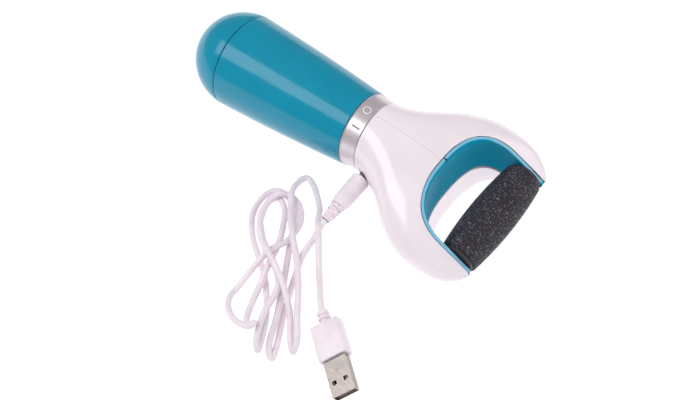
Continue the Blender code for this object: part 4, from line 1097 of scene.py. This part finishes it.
def build_usb_plug():
    """Overmould with rounded edges, a two-ring relief at its tail, and a pressed dimple in the shell."""
    where = usb_frame()
    nose = USB_BODY[0] / 2
    half_y, half_z = USB_BODY[1] / 2, USB_BODY[2] / 2
    points, rows = [], []
    stations = [(-nose + x * MM, share) for x, share in USB_TAIL]
    stations += [(nose + x * MM, share) for x, share in USB_NOSE]
    for x, share in stations:
        ring = outline(half_y * share, half_z * share, USB_SQUARENESS, USB_STEPS)
        rows.append(list(range(len(points), len(points) + len(ring))))
        points += [where @ Vector((x, dy, dz)) for dy, dz in ring]
    faces = faces_between(rows, False, True) + [tuple(rows[0]), tuple(reversed(rows[-1]))]
    body = mesh_object("usb_grip", points, faces, "lead_white", 32)
    settle(body, "lead", "lead_white", "usb_overmold")
    profile = [(-nose - USB_RELIEF_GAP - reach * MM, radius * MM) for reach, radius in USB_RELIEF]
    relief = turned("usb_relief_rings", profile, Vector((0, 0, 0)), "X", "lead_white", 64, 50)
    relief.matrix_world = where
    settle(relief, "lead", "lead_white", "usb_relief")
    low, high = DIMPLE_REACH
    dimple = block("shell_dimple", (nose + low, -DIMPLE_HALF_WIDTH, SHELL_TOP - DIMPLE_SINK),
                   (nose + high, DIMPLE_HALF_WIDTH, SHELL_TOP + DIMPLE_RISE), "steel", DIMPLE_ROUNDING)
    dimple.matrix_world = where
    settle(dimple, "lead", "steel")


def build_lead():
    cable = tube("lead_cord", lead_path(), LEAD_RADIUS, "lead_white", sides=5)
    settle(cable, "lead", "lead_white", "charging_cable")
    build_barrel_plug()
    build_usb_plug()


# ---------------------------------------------------------------- CAD nodes that are kept

def dress_kept_nodes():
    """Every CAD node that still shows gets its slot's material, and the square ones a fine edge rounding."""
    slots = {entry["node"]: entry["material_slot"] for entry in frame["record"]["subparts"]}
    for name, obj in frame["nodes"].items():
        if obj.hide_render:
            continue
        obj.data.materials.clear()
        obj.data.materials.append(LOOKS[slots[name]])
        if name in SHARP_NODES:
            edge = obj.modifiers.new("edge", "BEVEL")
            edge.width = NODE_EDGE
            edge.segments = 2
            edge.limit_method = "ANGLE"


# ---------------------------------------------------------------- floor, light and camera

def build_floor():
    data = bpy.data.meshes.new("floor")
    half = FLOOR_HALF
    corners = [(-half, -half, 0), (half, -half, 0), (half, half, 0), (-half, half, 0)]
    data.from_pydata(corners, [], [(0, 1, 2, 3)])
    floor = add_object("floor", data)
    data.materials.append(floor_paper())
    floor.location.z = FLOOR_HEIGHT


def area_light(name, direction, distance, width, depth, power, glossy):
    """A soft box in a direction from the object, facing it, with its width as near to X as it can be."""
    light = bpy.data.lights.new(name, "AREA")
    light.shape = "RECTANGLE"
    light.size = width
    light.size_y = depth
    light.energy = power
    obj = add_object(name, light)
    back = Vector(direction).normalized()
    side = Vector((1, 0, 0))
    side = (side - back * side.dot(back)).normalized()
    up = back.cross(side)
    turn = Matrix((side, up, back)).transposed().to_4x4()
    obj.matrix_world = Matrix.Translation(back * distance) @ turn
    obj.visible_glossy = glossy


def build_lights():
    world = bpy.data.worlds.new("studio")
    bpy.context.scene.world = world
    world.use_nodes = True
    sky = world.node_tree.nodes["Background"]
    sky.inputs["Color"].default_value = (*SKY_COLOUR, 1.0)
    sky.inputs["Strength"].default_value = SKY_STRENGTH
    for box in SOFT_BOXES:
        area_light(*box)


def build_camera():
    sin_a, cos_a = math.sin(CAMERA_AZIMUTH), math.cos(CAMERA_AZIMUTH)
    sin_e, cos_e = math.sin(CAMERA_ELEVATION), math.cos(CAMERA_ELEVATION)
    level = Vector((cos_a, sin_a, 0.0))
    back = Vector((sin_a * cos_e, -cos_a * cos_e, sin_e))
    above = back.cross(level)
    cos_r, sin_r = math.cos(CAMERA_ROLL), math.sin(CAMERA_ROLL)
    right = level * cos_r - above * sin_r
    up = level * sin_r + above * cos_r
    data = bpy.data.cameras.new("camera")
    data.lens = CAMERA_LENS
    data.sensor_width = SENSOR_WIDTH
    data.clip_start = NEAR_CLIP
    camera = add_object("camera", data)
    turn = Matrix((right, up, back)).transposed().to_4x4()
    camera.matrix_world = Matrix.Translation(CAMERA_TARGET + back * CAMERA_DISTANCE) @ turn
    bpy.context.scene.camera = camera


build_handle()
build_ring()
build_head()
build_guard()
build_roller()
build_lead()
dress_kept_nodes()
build_floor()
build_lights()
build_camera()
bpy.context.scene.view_settings.view_transform = "Standard"
